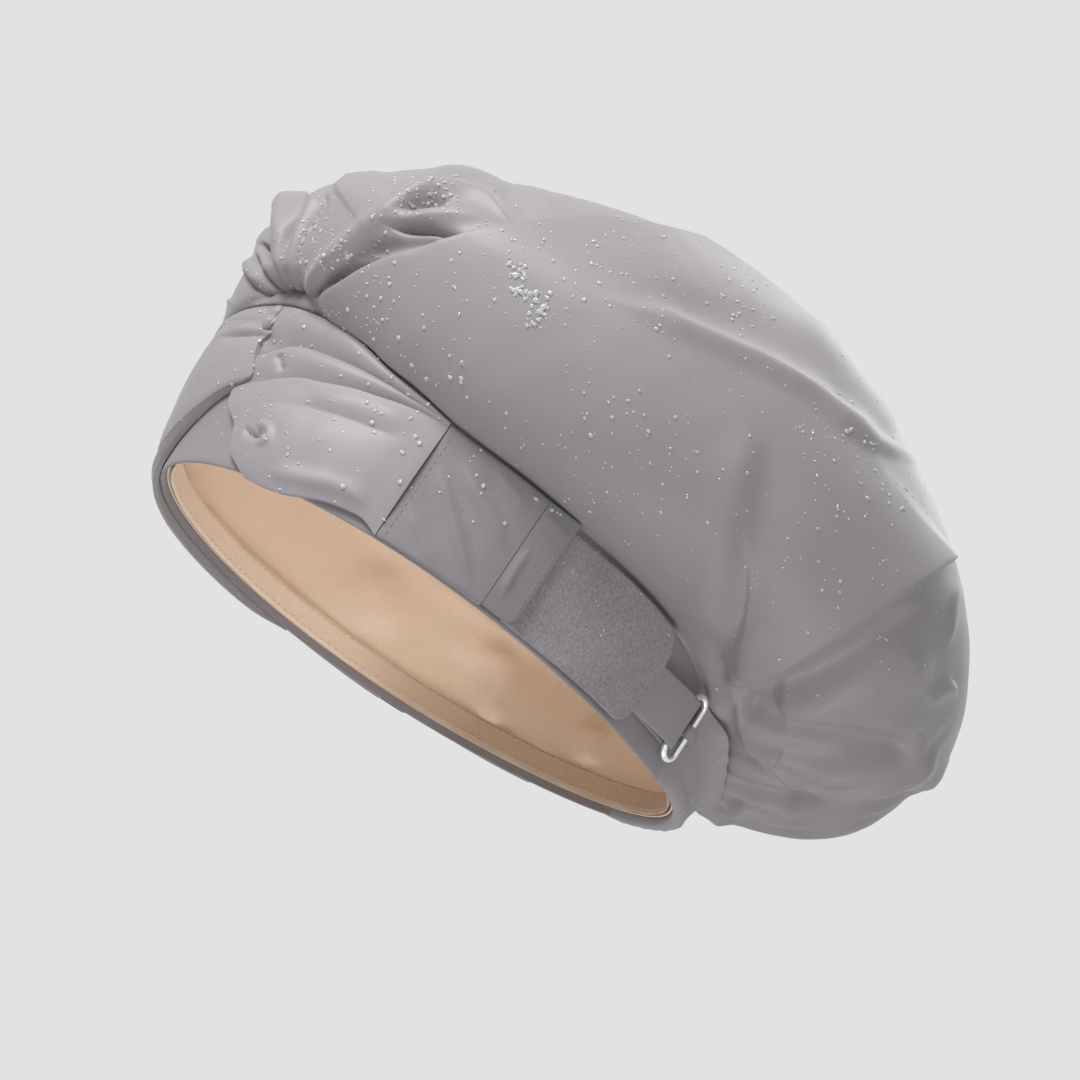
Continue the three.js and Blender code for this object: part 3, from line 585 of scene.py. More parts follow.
def folded(pixels, ridges=(), creases=(), laps=()):
    """Push along the normal, and slide in the picture's plane, of a set of folds."""
    push = np.zeros(len(pixels))
    slide = np.zeros((len(pixels), 2))
    for points, height, width, fade_in, fade_out in ridges:
        s, along = beside_line(pixels, points)
        fade = faded(along, fade_in, fade_out)
        push += height * np.exp(-(s / (width * mix(RIDGE_END_SHARE, 1, fade))) ** 2) * fade
    for points, depth, width, fade_in, fade_out in creases:
        s, along = beside_line(pixels, points)
        fade = faded(along, fade_in, fade_out)
        push -= depth * np.exp(-np.abs(s) / (width * mix(CREASE_END_SHARE, 1, fade))) * fade
    for points, height, fall, lip, fade_in, fade_out in laps:
        s, along, way = line_offsets(pixels, points)
        fade = faded(along, fade_in, fade_out)
        steep = np.clip(-(s - lip) / (lip / LIP_SOFTNESS), -STEEPEST_EDGE, STEEPEST_EDGE)
        on_top = 1 / (1 + np.exp(steep))
        push += height * on_top * np.exp(-np.maximum(s, 0) / fall) * fade
        curl = LIP_CURL * lip * np.exp(-((s - 2 * lip) / (LIP_CURL_WIDTH_SHARE * lip)) ** 2) * fade
        slide -= way * curl[:, None]
    return push, slide


def hollow(pixels, centre, depth, reach):
    d = np.linalg.norm(pixels - np.array(centre), axis=-1) / PHOTO_SCALE
    return -depth * np.exp(-(d / reach) ** 2)


def front_folds(p):
    """The folds of the wearer's right front, on lines seen from straight ahead."""
    lines = [([(x * PHOTO_SCALE, z * PHOTO_SCALE) for x, z in line], *rest)
             for line, *rest in FRONT_RIDGES]
    return folded(p[:, [0, 2]] * PHOTO_SCALE, lines)[0]


def nape_pleats(p, t, angle):
    span = smooth(np.abs(angle), *NAPE_ANGLES)
    span = span * (1 - smooth(t, *NAPE_END_SHARES)) * smooth(t, *NAPE_START_SHARES)
    wander = NAPE_WANDER * ripples(p, NAPE_WANDER_LENGTH, NAPE_WANDER_SEED)
    wave = np.sin(np.radians(angle) * FULL_TURN / NAPE_SPAN * NAPE_PLEATS + wander)
    return NAPE_PLEAT_HEIGHT * span * wave


def fold_freedom(push, t, angle):
    """How far the cloth may leave its place: not at all at its sewn edge and at the peak."""
    at_ring = smooth(np.abs(angle), *RING_NEAR_ANGLES) * (1 - smooth(np.abs(angle), *RING_FAR_ANGLES))
    start = mix(RIDGE_START_SHARE, RING_START_SHARE, at_ring)
    low = np.where(push > 0, smooth(t / start, 0, 1), smooth(t, *DIP_START_SHARES))
    return low * (1 - smooth(t, *PEAK_FADE_SHARES))


def slide_in_space(slide):
    return slide[:, :1] * IMAGE_RIGHT - slide[:, 1:] * IMAGE_UP


def crown_folds(p, normals, t, angle):
    """The crown's points with its folds, which the wearer's right repeats without the knot."""
    to_right = np.array([-1, 1, 1])
    near_pixels = to_photo(p)
    far_pixels = to_photo(p * to_right)
    near = smooth(normals @ TO_CAMERA, *SEEN_TURN)
    far = smooth((normals * to_right) @ TO_CAMERA, *SEEN_TURN) * (1 - near)
    front = smooth(-normals[:, 1], *FRONT_TURN) * (1 - near)

    knot_push, knot_slide = folded(near_pixels, KNOT_RIDGES, KNOT_CREASES, KNOT_LAPS)
    near_push, near_slide = folded(near_pixels, SIDE_RIDGES, (), SIDE_LAPS)
    far_push, far_slide = folded(far_pixels, SIDE_RIDGES, (), SIDE_LAPS)
    push = near * (knot_push + near_push) + far * far_push + front * front_folds(p)
    push += near * hollow(near_pixels, KNOT, KNOT_HOLLOW, KNOT_HOLLOW_REACH)
    push += near * hollow(near_pixels, GATHER, GATHER_HOLLOW, GATHER_HOLLOW_REACH)
    push += far * hollow(far_pixels, GATHER, GATHER_HOLLOW, GATHER_HOLLOW_REACH)
    push += nape_pleats(p, t, angle)
    push += sum(height * ripples(p, length, seed) for height, length, seed in CROWN_WAVES)
    free = fold_freedom(push, t, angle)

    slide = near[:, None] * slide_in_space(knot_slide + near_slide)
    slide = slide + far[:, None] * (slide_in_space(far_slide) * to_right)
    slide -= (slide * normals).sum(-1, keepdims=True) * normals
    return p + normals * (push * free)[:, None] + slide * free[:, None]


def crown_angles(count):
    """Columns round the crown, closer round the knot and the gathers."""
    turn = np.linspace(-HALF_TURN, HALF_TURN, COLUMN_STEP_COUNT)
    density = np.interp(turn, *np.array(COLUMN_DENSITY, float).T)
    so_far = np.concatenate([[0], np.cumsum((density[1:] + density[:-1]) / 2)])
    return np.interp(np.arange(count) / count * so_far[-1], so_far, turn)


def add_crown():
    angles = crown_angles(CROWN_COLUMNS)
    v = np.linspace(0, 1, CROWN_ROWS)
    t = mix(v, v * v, CROWN_LOW_ROWS_SHARE)
    grid_angle, grid_t = np.meshgrid(angles, t, indexing="ij")
    base = crown_base(grid_angle, grid_t)
    normals = dome_normals(base).reshape(-1, 3)
    points = crown_folds(base.reshape(-1, 3), normals, grid_t.ravel(), wrapped(grid_angle).ravel())
    hem = [on_band(angles, CLOTH / 2, band_top(angles) - depth)[:, None] for depth in (CROWN_HEM, CLOTH)]
    points = np.concatenate([*hem, points.reshape(base.shape)[:, :-1]], 1)
    piece = dome("crown_cloth", points, (0, PEAK_Y, CROWN_HEIGHT))
    fewer = piece.modifiers.new("fewer", "DECIMATE")
    fewer.ratio = CROWN_KEEP_SHARE
    add_wall(piece, CROWN_THICKNESS, -1, FOLD_SHADE_ANGLE)
    return piece


# The band's pieces

PUFF_POWER = 0.6
PUFF_HEIGHT_SHARES = (0.06, 0.94)
PUFF_LENGTH_SHARES = (0.04, 0.96)
WRINKLE_LENGTH = 14
WRINKLE_SEED = 3
# How a strip's skin rounds off at its long edges, and how far from them its folds are full
STRIP_ROUND = 0.3
STRIP_ROUND_REACH = 0.35
STRIP_FOLD_REACH = 3
STRIP_DIP_SHARE = 0.5


def line_patch(lower, upper, left, right, columns, rows):
    """A grid between four lines: the first two run left to right, the others upwards."""
    u = np.linspace(0, 1, columns)[:, None, None]
    v = np.linspace(0, 1, rows)[None, :, None]
    lower, upper = (smooth_line(line, columns)[:, None] for line in (lower, upper))
    left, right = (smooth_line(line, rows)[None] for line in (left, right))
    corners = [left[:, :1], right[:, :1], left[:, -1:], right[:, -1:]]
    ruled = mix(mix(corners[0], corners[1], u), mix(corners[2], corners[3], u), v)
    return mix(lower, upper, v) + mix(left, right, u) - ruled


def puffed(u, v, height, ends):
    """A rolled profile: full in the middle, round at its long edges."""
    roll = np.sin(math.pi * np.clip(mix(*PUFF_HEIGHT_SHARES, v), 0, 1)) ** PUFF_POWER
    along = mix(ends, 1, np.sin(math.pi * np.clip(mix(*PUFF_LENGTH_SHARES, u), 0, 1)) ** PUFF_POWER)
    return height * roll * along


def side_pixels(points):
    """Photograph pixels of points, the wearer's right mirrored to the left."""
    return to_photo(points * np.array([-1, 1, 1]) if points[..., 0].mean() < 0 else points)


def wrinkled(points, ridges=(), creases=(), fine=0.12):
    """How far the folds and a fine unevenness push the points of a grid out."""
    push, _ = folded(side_pixels(points).reshape(-1, 2), ridges, creases)
    push = push + fine * ripples(points.reshape(-1, 3), WRINKLE_LENGTH, WRINKLE_SEED)
    return push.reshape(points.shape[:-1])


def band_strip(name, start, end, foot, top, inside, outside, columns, rows, **folds):
    """A strip on the band between two angles; each setting is a function of the angle."""
    angle = np.linspace(start, end, columns)[:, None] * np.ones(rows)
    v = close_at_ends(rows) * np.ones((columns, 1))
    z = mix(foot(angle), top(angle), v)
    inner, outer = inside(angle), outside(angle)
    edge = np.minimum(v, 1 - v) * (top(angle) - foot(angle))
    outer = outer - STRIP_ROUND * np.exp(-edge / STRIP_ROUND_REACH)
    front = on_band(angle, outer, z)
    push = wrinkled(front, **folds) * smooth(edge, 0, STRIP_FOLD_REACH)
    front = on_band(angle, outer + np.maximum(push, -STRIP_DIP_SHARE * (outer - inner)), z)
    return solid_patch(name, front, on_band(angle, inner, z))


BAND_TOP_HEM = 0.5


def add_base_band():
    return band_strip("base_band_cloth", -CASING_ANGLE, CASING_ANGLE, foot=lambda a: 0 * a,
                      top=lambda a: band_top(a) + BAND_TOP_HEM, inside=lambda a: 0 * a,
                      outside=lambda a: CLOTH + 0 * a, columns=420, rows=26, fine=0.1)


# Pleats

PLEAT_BASE = CLOTH + LAYER_GAP
PLEAT_TUCK = 0.1
PLEAT_OVERLAP = 2.5
PLEAT_FOLD_SHARE = 0.12
PLEAT_DIP_SHARE = 0.7
PLEAT_END_SHARE = 0.35
# A rolled hem along the right pleat's lower edge: height or depth, place and width as shares
HEM_ROLL_SHARES = (0.9, 0.05, 0.03)
HEM_GROOVE_SHARES = (1.1, 0.105, 0.02)
RIGHT_PLEAT_OVERLAP = 3

# Lines of the front pleats on the band, as (angle, height)
LOWER_PLEAT_FOOT = [
    (39.8, -1.8), (45, -2.4), (49.4, -2), (52.7, -0.7), (55.3, 0.5), (58.6, 1.7), (63, 2.6), (66.2, 2.6),
    (69.8, 0.2),
]
LOWER_PLEAT_TOP = [
    (20.5, 26), (27.9, 28.8), (33.2, 31.5), (38.2, 33.6), (42.6, 34.4), (46.3, 35.6), (50.8, 37.2),
    (55.3, 38.3), (59.4, 39.7), (63.8, 40.7), (67.2, 41.1), (69.8, 41.1),
]
LOWER_PLEAT_END = [
    (39.8, -1.8), (36.4, 0.8), (33, 4.3), (31.3, 8), (29.6, 12.6), (26.5, 16), (22.6, 20.5), (20.5, 26),
]
MIDDLE_PLEAT_TOP = [
    (21, 36.8), (24, 38), (28, 40.5), (31, 42.3), (35.7, 43), (40.5, 43), (46, 42.9), (51.4, 42.7),
    (56, 42.4), (61, 41.9), (65.8, 41.8), (69.6, 41.6),
]
UPPER_PLEAT_TOP = [
    (18.5, 54.6), (24, 55), (33.5, 53.9), (40.8, 52.6), (46.8, 50.2), (53.3, 46.8), (59.4, 44.7),
    (64.7, 43.2), (69.6, 41.6),
]
RIGHT_PLEAT_FOOT = [
    (-69.6, 0), (-58, -2.4), (-30, -2.6), (-12, -1), (-4, 0.8), (2, 3.2), (7, 8), (12, 14.5), (17, 21.5),
    (20.5, 25),
]
RIGHT_PLEAT_TOP = [
    (-69.6, 38), (-50, 39), (-30, 40.5), (-12, 43.5), (0, 46.5), (9, 48.8), (16, 48.6), (20, 47.6),
    (22.5, 46),
]
RIGHT_PLEAT_END = [(20.5, 25), (24, 28), (25.3, 30.5), (22.6, 36.5), (21, 41.5), (22.5, 46)]
RIGHT_UPPER_TOP_GAP = 0.3
RIGHT_UPPER_ANGLES = (-69.6, -50, -30, -12, 0, 6, 12, 17)

# Folds of the pleats, in the photograph's pixels as for the crown
LOWER_PLEAT_FOLDS = {
    "ridges": [([(300, 392), (345, 400), (395, 416), (425, 428)], 0.8, 4, 0.3, 0.3),
               ([(262, 470), (300, 478), (345, 490), (372, 512)], 0.9, 3, 0.2, 0.2),
               ([(255, 422), (268, 428), (266, 440), (252, 445)], 1, 1.2, 0.3, 0.3)],
    "creases": [([(244, 424), (249, 433), (258, 434), (256, 425)], 1.6, 0.8, 0.3, 0.3),
                ([(250, 402), (300, 404), (350, 418), (405, 440)], 1.5, 4, 0.4, 0.3)],
    "fine": 0.2,
}
MIDDLE_PLEAT_FOLDS = {"creases": [([(277, 352), (282, 372)], 1.6, 1, 0.2, 0.2)], "fine": 0.2}
UPPER_PLEAT_FOLDS = {"creases": [([(263, 322), (268, 340), (272, 349)], 2, 1.2, 0.2, 0.2)], "fine": 0.25}
RIGHT_PLEAT_FOLDS = {
    "ridges": [([(214, 352), (225, 366), (238, 383)], 1, 2.2, 0.4, 0.1),
               ([(244, 340), (248, 360), (251, 378)], 0.8, 2, 0.4, 0.1)],
    "creases": [([(205, 350), (220, 372), (234, 385)], 1.3, 1.8, 0.3, 0.1),
                ([(234, 346), (241, 365), (248, 381)], 1, 1.6, 0.3, 0.1),
                ([(258, 326), (255, 345), (253, 368)], 0.8, 1, 0.3, 0.2)],
    "fine": 0.3,
}


def lowered(line, drop):
    return [(angle, z - drop) for angle, z in line]


def add_pleat(name, foot, top, left, right, height, columns, rows, base=PLEAT_BASE, ends=PLEAT_END_SHARE,
              wave=None, slant=1, **folds):
    """A puffed pleat between four lines on the band; a slant under 1 draws its lower part in."""
    places = line_patch(foot, top, left, right, columns, rows)
    angle, z = places[..., 0], places[..., 1]
    u = np.linspace(0, 1, columns)[:, None]
    v = np.linspace(0, 1, rows)[None]
    rise = puffed(u, v, height, ends) * mix(slant, 1, v)
    if wave:
        rise = rise + wave(u, v) * smooth(rise, 0, height / 2)
    front = on_band(angle, base + rise, z)
    push = wrinkled(front, **folds) * smooth(np.minimum(v, 1 - v), 0, PLEAT_FOLD_SHARE)
    push = np.maximum(push, -PLEAT_DIP_SHARE * rise)
    front = on_band(angle, base + rise + push, z)
    return solid_patch(name, front, on_band(angle, base - PLEAT_TUCK, z))


def rolled_hem(u, v):
    """A roll along the lower edge with a groove above it."""
    roll, groove = (size * np.exp(-((v - place) / width) ** 2)
                    for size, place, width in (HEM_ROLL_SHARES, HEM_GROOVE_SHARES))
    return (roll - groove) * (1 + 0 * u)


def add_left_pleats():
    lower = add_pleat(
        "left_pleat_lower_cloth", LOWER_PLEAT_FOOT, LOWER_PLEAT_TOP, LOWER_PLEAT_END,
        [(69.9, 0.2), (69.9, 20), (69.9, 41.1)], height=4, columns=120, rows=54, ends=0.45,
        **LOWER_PLEAT_FOLDS)
    middle = add_pleat(
        "left_pleat_middle_cloth", lowered(LOWER_PLEAT_TOP, PLEAT_OVERLAP), MIDDLE_PLEAT_TOP,
        [(20.5, 23.5), (20.4, 30), (21, 36.8)], [(69.8, 38.6), (69.6, 41.6)], height=4.6, columns=110,
        rows=26, slant=0.2, **MIDDLE_PLEAT_FOLDS)
    upper = add_pleat(
        "left_pleat_upper_cloth", lowered(MIDDLE_PLEAT_TOP, PLEAT_OVERLAP), UPPER_PLEAT_TOP,
        [(21, 34.3), (18.6, 44), (18.5, 54.6)], [(69.6, 39.1), (69.6, 41.6)], height=5.2, columns=110,
        rows=34, base=PLEAT_BASE - PLEAT_TUCK, slant=0.05, **UPPER_PLEAT_FOLDS)
    return [lower, middle, upper]


def add_right_pleats():
    lower = add_pleat(
        "right_pleat_lower_cloth", RIGHT_PLEAT_FOOT, RIGHT_PLEAT_TOP,
        [(-69.6, 2), (-69.6, 20), (-69.6, 38)], RIGHT_PLEAT_END, height=4.6, columns=200, rows=76,
        ends=0.4, wave=rolled_hem, **RIGHT_PLEAT_FOLDS)
    upper_top = [(a, float(band_top(a)) - RIGHT_UPPER_TOP_GAP) for a in RIGHT_UPPER_ANGLES]
    upper = add_pleat(
        "right_pleat_upper_cloth", lowered(RIGHT_PLEAT_TOP, RIGHT_PLEAT_OVERLAP), upper_top,
        [(-69.6, 35), (-69.6, 41)], [(22.5, 43), (18, 49), upper_top[-1]], height=2.6, columns=140,
        rows=20, base=PLEAT_BASE - 2 * PLEAT_TUCK, fine=0.2)
    return [lower, upper]


# The knot tack, drawn in at its waist, with small gathers that turn as they rise

KNOT_OUT = 1.4
KNOT_DROP = 5.3
KNOT_HALF_WIDTH = 3.4
KNOT_HALF_DEPTH = 1.7
KNOT_HALF_HEIGHT = 4.6
KNOT_WAIST_SHARE = 0.28
KNOT_GATHERS = 9
KNOT_GATHER_SHARE = 0.07
KNOT_TWIST = 3


def add_knot():
    """The sewn tack where the pleats and the fan of the crown are drawn together."""
    bpy.ops.object.select_all(action="DESELECT")
    bpy.ops.mesh.primitive_uv_sphere_add(segments=48, ring_count=24, radius=1)
    piece = bpy.context.object
    piece.name = piece.data.name = "knot_tack_cloth"
    centre = on_band(KNOT_ANGLE, PLEAT_BASE + KNOT_OUT, band_top(KNOT_ANGLE) - KNOT_DROP)
    out = np.append(outline_normal(KNOT_ANGLE), 0)
    across = np.array([-out[1], out[0], 0])
    for vertex in piece.data.vertices:
        x, y, z = vertex.co
        pinch = 1 - KNOT_WAIST_SHARE * math.exp(-(z / KNOT_WAIST_SHARE) ** 2)
        gather = 1 + KNOT_GATHER_SHARE * math.cos(KNOT_GATHERS * math.atan2(y, x) + KNOT_TWIST * z)
        place = centre + across * x * KNOT_HALF_WIDTH * pinch * gather
        place = place + out * y * KNOT_HALF_DEPTH * pinch * gather
        place[2] += z * KNOT_HALF_HEIGHT
        vertex.co = Vector(place * MM)
    face_out(piece)
    shade(piece, ROUND_SHADE_ANGLE)
    return piece


# Side panels, hook flaps with their tapes, and loop panels

FLAP_LENGTH = 11.5
FLAP_HEIGHT = 33
FLAP_THICKNESS = 0.9
FLAP_CORNER = 4
FLAP_FOOT = 0.6
FLAP_TOP_GAP = 0.3
FLAP_ROUND = 0.3
FLAP_FOLD_REACH = 2
FLAP_DIP = 0.3
HOOK_THICKNESS = 0.7
# How far the hook tape's near and far edges lie from the flap's free edge, and from its ends
HOOK_NEAR = 8
HOOK_FAR = 1.6
HOOK_END_GAP = 2.5
HOOK_DEPTH = 0.18
HOOK_ROOT = 0.2
LOOP_THICKNESS = 1.1
LOOP_UNDERLAP = 3.5
LOOP_HEIGHT = 36
LOOP_ROUND = 6
LOOP_TOP_GAP = 1.2
LOOP_CLIMB_SHARE = 0.9
LOOP_EDGE_ROUND = 0.35
LOOP_EDGE_REACH = 0.4
LOOP_EDGE_LENGTH = 40
LOOP_SOFT_REACH = 2.5
# Unevenness of the loop panel and of its pile: height, length, seed and number of waves
LOOP_SOFT = (0.35, 26, 21, 9)
LOOP_PILE = (0.05, 1.6, 22, 14)
LOOP_SOFT_LIMITS = (-0.3, 0.5)
LOOP_INSIDE = CLOTH + LAYER_GAP
HOOK_INSIDE = LOOP_INSIDE + LOOP_THICKNESS + LAYER_GAP
FLAP_INSIDE = HOOK_INSIDE + HOOK_THICKNESS + LAYER_GAP
FLAP_OUTSIDE = FLAP_INSIDE + FLAP_THICKNESS
FLAP_TOP = float(band_top(FLAP_SEAM_ANGLE)) - FLAP_TOP_GAP
HOOK_FOOT = (float(band_top(FLAP_SEAM_ANGLE)) - FLAP_HEIGHT) / 2
STRAP_WIDTH = 17
STRAP_THICKNESS = 0.8
STRAP_TUCK = 12

PANEL_RIDGES = [
    ([(432, 452), (447, 500), (460, 548), (473, 591)], 0.8, 1.7, 0.3, 0.25),
    ([(462, 462), (480, 500), (499, 534), (512, 556)], 0.9, 1.8, 0.3, 0.3),
    ([(404, 500), (420, 535), (440, 575)], 0.45, 1.6, 0.3, 0.3),
    ([(495, 470), (514, 494), (530, 516)], 0.55, 1.5, 0.3, 0.3),
    ([(500, 600), (514, 572), (533, 545)], 0.6, 1.5, 0.3, 0.3),
    ([(540, 512), (556, 526), (570, 542)], 0.35, 1.4, 0.3, 0.3),
]
PANEL_CREASES = [
    ([(447, 462), (464, 510), (482, 566)], 0.7, 1.4, 0.3, 0.3),
    ([(480, 470), (504, 516), (518, 545)], 0.6, 1.4, 0.3, 0.3),
    ([(418, 480), (432, 520), (452, 570)], 0.5, 1.6, 0.3, 0.3),
]


def build_side_panel(name):
    return band_strip(
        name, PANEL_FRONT_ANGLE, FLAP_SEAM_ANGLE, foot=lambda a: LAYER_GAP + 0 * a,
        top=lambda a: band_top(a) - LAYER_GAP, inside=lambda a: CLOTH + LAYER_GAP + 0 * a,
        outside=lambda a: mix(2 * CLOTH + LAYER_GAP, FLAP_OUTSIDE,
                              smooth(a, PANEL_FRONT_ANGLE, FLAP_SEAM_ANGLE)),
        columns=90, rows=44, ridges=PANEL_RIDGES, creases=PANEL_CREASES, fine=0.12)


def build_flap(name):
    columns, rows = 44, 60
    u = np.linspace(0, 1, columns)[:, None]
    z = mix(FLAP_FOOT, FLAP_TOP, close_at_ends(rows)[None])
    into_corner = np.maximum(FLAP_CORNER - (z - FLAP_FOOT), 0)
    trimmed = FLAP_CORNER - np.sqrt(np.maximum(FLAP_CORNER ** 2 - into_corner ** 2, 0))
    angle = step_round(FLAP_SEAM_ANGLE, mix(LAYER_GAP / 2, FLAP_LENGTH - trimmed, u))
    z = z + 0 * u
    edge = np.minimum(np.minimum(z - FLAP_FOOT, FLAP_TOP - z), (1 - u) * FLAP_LENGTH)
    outer = FLAP_OUTSIDE - FLAP_ROUND * np.exp(-edge / FLAP_ROUND)
    front = on_band(angle, outer, z)
    push = wrinkled(front, PANEL_RIDGES, PANEL_CREASES, fine=0.1) * smooth(edge, 0, FLAP_FOLD_REACH)
    front = on_band(angle, outer + np.maximum(push, -FLAP_DIP), z)
    return solid_patch(name, front, on_band(angle, FLAP_INSIDE, z))


def build_hook_tape(name):
    columns, rows = 30, 60
    u = np.linspace(0, 1, columns)[:, None]
    v = np.linspace(0, 1, rows)[None]
    angle = step_round(FLAP_SEAM_ANGLE, mix(FLAP_LENGTH - HOOK_NEAR, FLAP_LENGTH - HOOK_FAR, u)) + 0 * v
    z = mix(HOOK_FOOT + HOOK_END_GAP, HOOK_FOOT + FLAP_HEIGHT - HOOK_END_GAP, v) + 0 * u
    hooks = HOOK_DEPTH * np.sin(math.pi * columns * u) * np.sin(math.pi * rows * v)
    return solid_patch(name, on_band(angle, HOOK_INSIDE + HOOK_THICKNESS, z),
                       on_band(angle, HOOK_INSIDE + HOOK_ROOT + hooks, z))


def loop_panel_place(u, v, extra):
    """A point of the loop panel: u from the flap to its round nose, v up it."""
    start = step_round(FLAP_SEAM_ANGLE, FLAP_LENGTH - LOOP_UNDERLAP)
    straight = mix(start, LOOP_PANEL_BACK_ANGLE, u)
    band = band_top(straight)
    top = np.minimum((band + LOOP_HEIGHT) / 2 - 2 * LAYER_GAP, band - LOOP_TOP_GAP)
    foot = np.maximum(2 * LAYER_GAP, (band - LOOP_HEIGHT) / 2)
    strap_rise = 2 * STRAP_THICKNESS + 2 * LAYER_GAP
    strap_start = step_round(LOOP_PANEL_BACK_ANGLE, LOOP_ROUND - STRAP_TUCK)
    climb = smooth(straight, start, mix(start, strap_start, LOOP_CLIMB_SHARE))
    nose = LOOP_ROUND * np.sqrt(np.maximum(0, 1 - (2 * v - 1) ** 2))
    angle = step_round(straight, nose * u ** 3)
    return on_band(angle, LOOP_INSIDE + strap_rise * climb + extra, mix(foot, top, v))


def build_loop_panel(name):
    columns, rows = 150, 90
    u = np.linspace(0, 1, columns)[:, None] * np.ones(rows)
    v = close_at_ends(rows)[None] * np.ones((columns, 1))
    edge = np.minimum(np.minimum(v, 1 - v) * LOOP_HEIGHT, (1 - u) * LOOP_EDGE_LENGTH)
    skin = LOOP_THICKNESS - LOOP_EDGE_ROUND * np.exp(-edge / LOOP_EDGE_REACH)
    places = loop_panel_place(u, v, skin).reshape(-1, 3)
    soft, pile = (height * ripples(places, *waves).reshape(u.shape)
                  for height, *waves in (LOOP_SOFT, LOOP_PILE))
    uneven = (np.clip(soft, *LOOP_SOFT_LIMITS) + pile) * smooth(edge, 0, LOOP_SOFT_REACH)
    return solid_patch(name, loop_panel_place(u, v, skin + uneven), loop_panel_place(u, v, 0))


# Straps, tabs and rings

RING_LENGTH = 24
RING_PITCH = 6
RING_SLACK = 0.3
WIRE = 2
WIRE_SIDES = 28
WIRE_BEND_STEPS = 26
RING_FOOT = 4
TAB_LENGTH = 5.5
TAB_WIDTH = 4
BACK_BAR_ANGLE = float(step_round(FRONT_BAR_ANGLE, RING_PITCH))
BAR_OUT = CLOTH + 2 * LAYER_GAP + RING_SLACK + STRAP_THICKNESS + WIRE / 2
STRAP_FOOT = RING_FOOT + (RING_LENGTH - STRAP_WIDTH) / 2
TAB_FOOT = RING_FOOT + (RING_LENGTH - TAB_WIDTH) / 2
CLIMB_SHARES = [(1, 1), (0.6, 0.65), (0.25, 0.1)]
BEND_POINTS = 13
RIBBON_POINTS = 90
# Across a ribbon: share of its width, and of half its thickness, with a groove beside each edge
RIBBON_SKIN_SHARES = [
    (0, 0.3), (0.012, 0.75), (0.035, 0.98), (0.075, 0.88), (0.11, 1), (0.5, 1), (0.89, 1),
    (0.925, 0.88), (0.965, 0.98), (0.988, 0.75), (1, 0.3),
]


def turn_round(reach, climb, direction):
    """The path of a ribbon in over a bar, round it and back underneath: (distance round, out)."""
    under = CLOTH + LAYER_GAP + STRAP_THICKNESS / 2
    over = under + STRAP_THICKNESS + LAYER_GAP
    bend = WIRE / 2 + LAYER_GAP + STRAP_THICKNESS / 2
    leads = [(reach, 1), ((reach + climb) / 2, 1)] + [(climb * way, flat) for way, flat in CLIMB_SHARES]

    def side(start, end):
        return [(direction * way, mix(start, end, flat)) for way, flat in leads]
    turns = np.linspace(0, math.pi, BEND_POINTS)
    bends = [(-direction * bend * math.sin(a), BAR_OUT + bend * math.cos(a)) for a in turns]
    return side(BAR_OUT + bend, over) + bends + side(BAR_OUT - bend, under)[::-1]


def ribbon(name, bar_angle, path, foot, height):
    """A webbing ribbon with rounded edges, drawn along a path in plan."""
    line = smooth_line(path, RIBBON_POINTS)
    along = unit(np.gradient(line, axis=0))
    normal = np.stack([along[:, 1], -along[:, 0]], -1)
    section = [(share, skin * (STRAP_THICKNESS / 2)) for share, skin in RIBBON_SKIN_SHARES]
    section += [(share, -skin) for share, skin in section[::-1]]
    rings = []
    for place, out_way in zip(line, normal):
        ring = []
        for share, skin in section:
            round_by, out = place + out_way * skin
            ring.append(on_band(step_round(bar_angle, round_by), out, foot + height * share))
        rings.append(ring)
    return tube(name, np.array(rings))


def build_strap(name):
    nose = np.linalg.norm(outline(LOOP_PANEL_BACK_ANGLE) - outline(FRONT_BAR_ANGLE)) - LOOP_ROUND
    path = turn_round(nose + STRAP_TUCK, nose - LAYER_GAP, -1)
    return ribbon(name, FRONT_BAR_ANGLE, path, STRAP_FOOT, STRAP_WIDTH)


def build_tab(name):
    path = turn_round(TAB_LENGTH, TAB_LENGTH / 2, 1)
    return ribbon(name, BACK_BAR_ANGLE, path, TAB_FOOT, TAB_WIDTH)


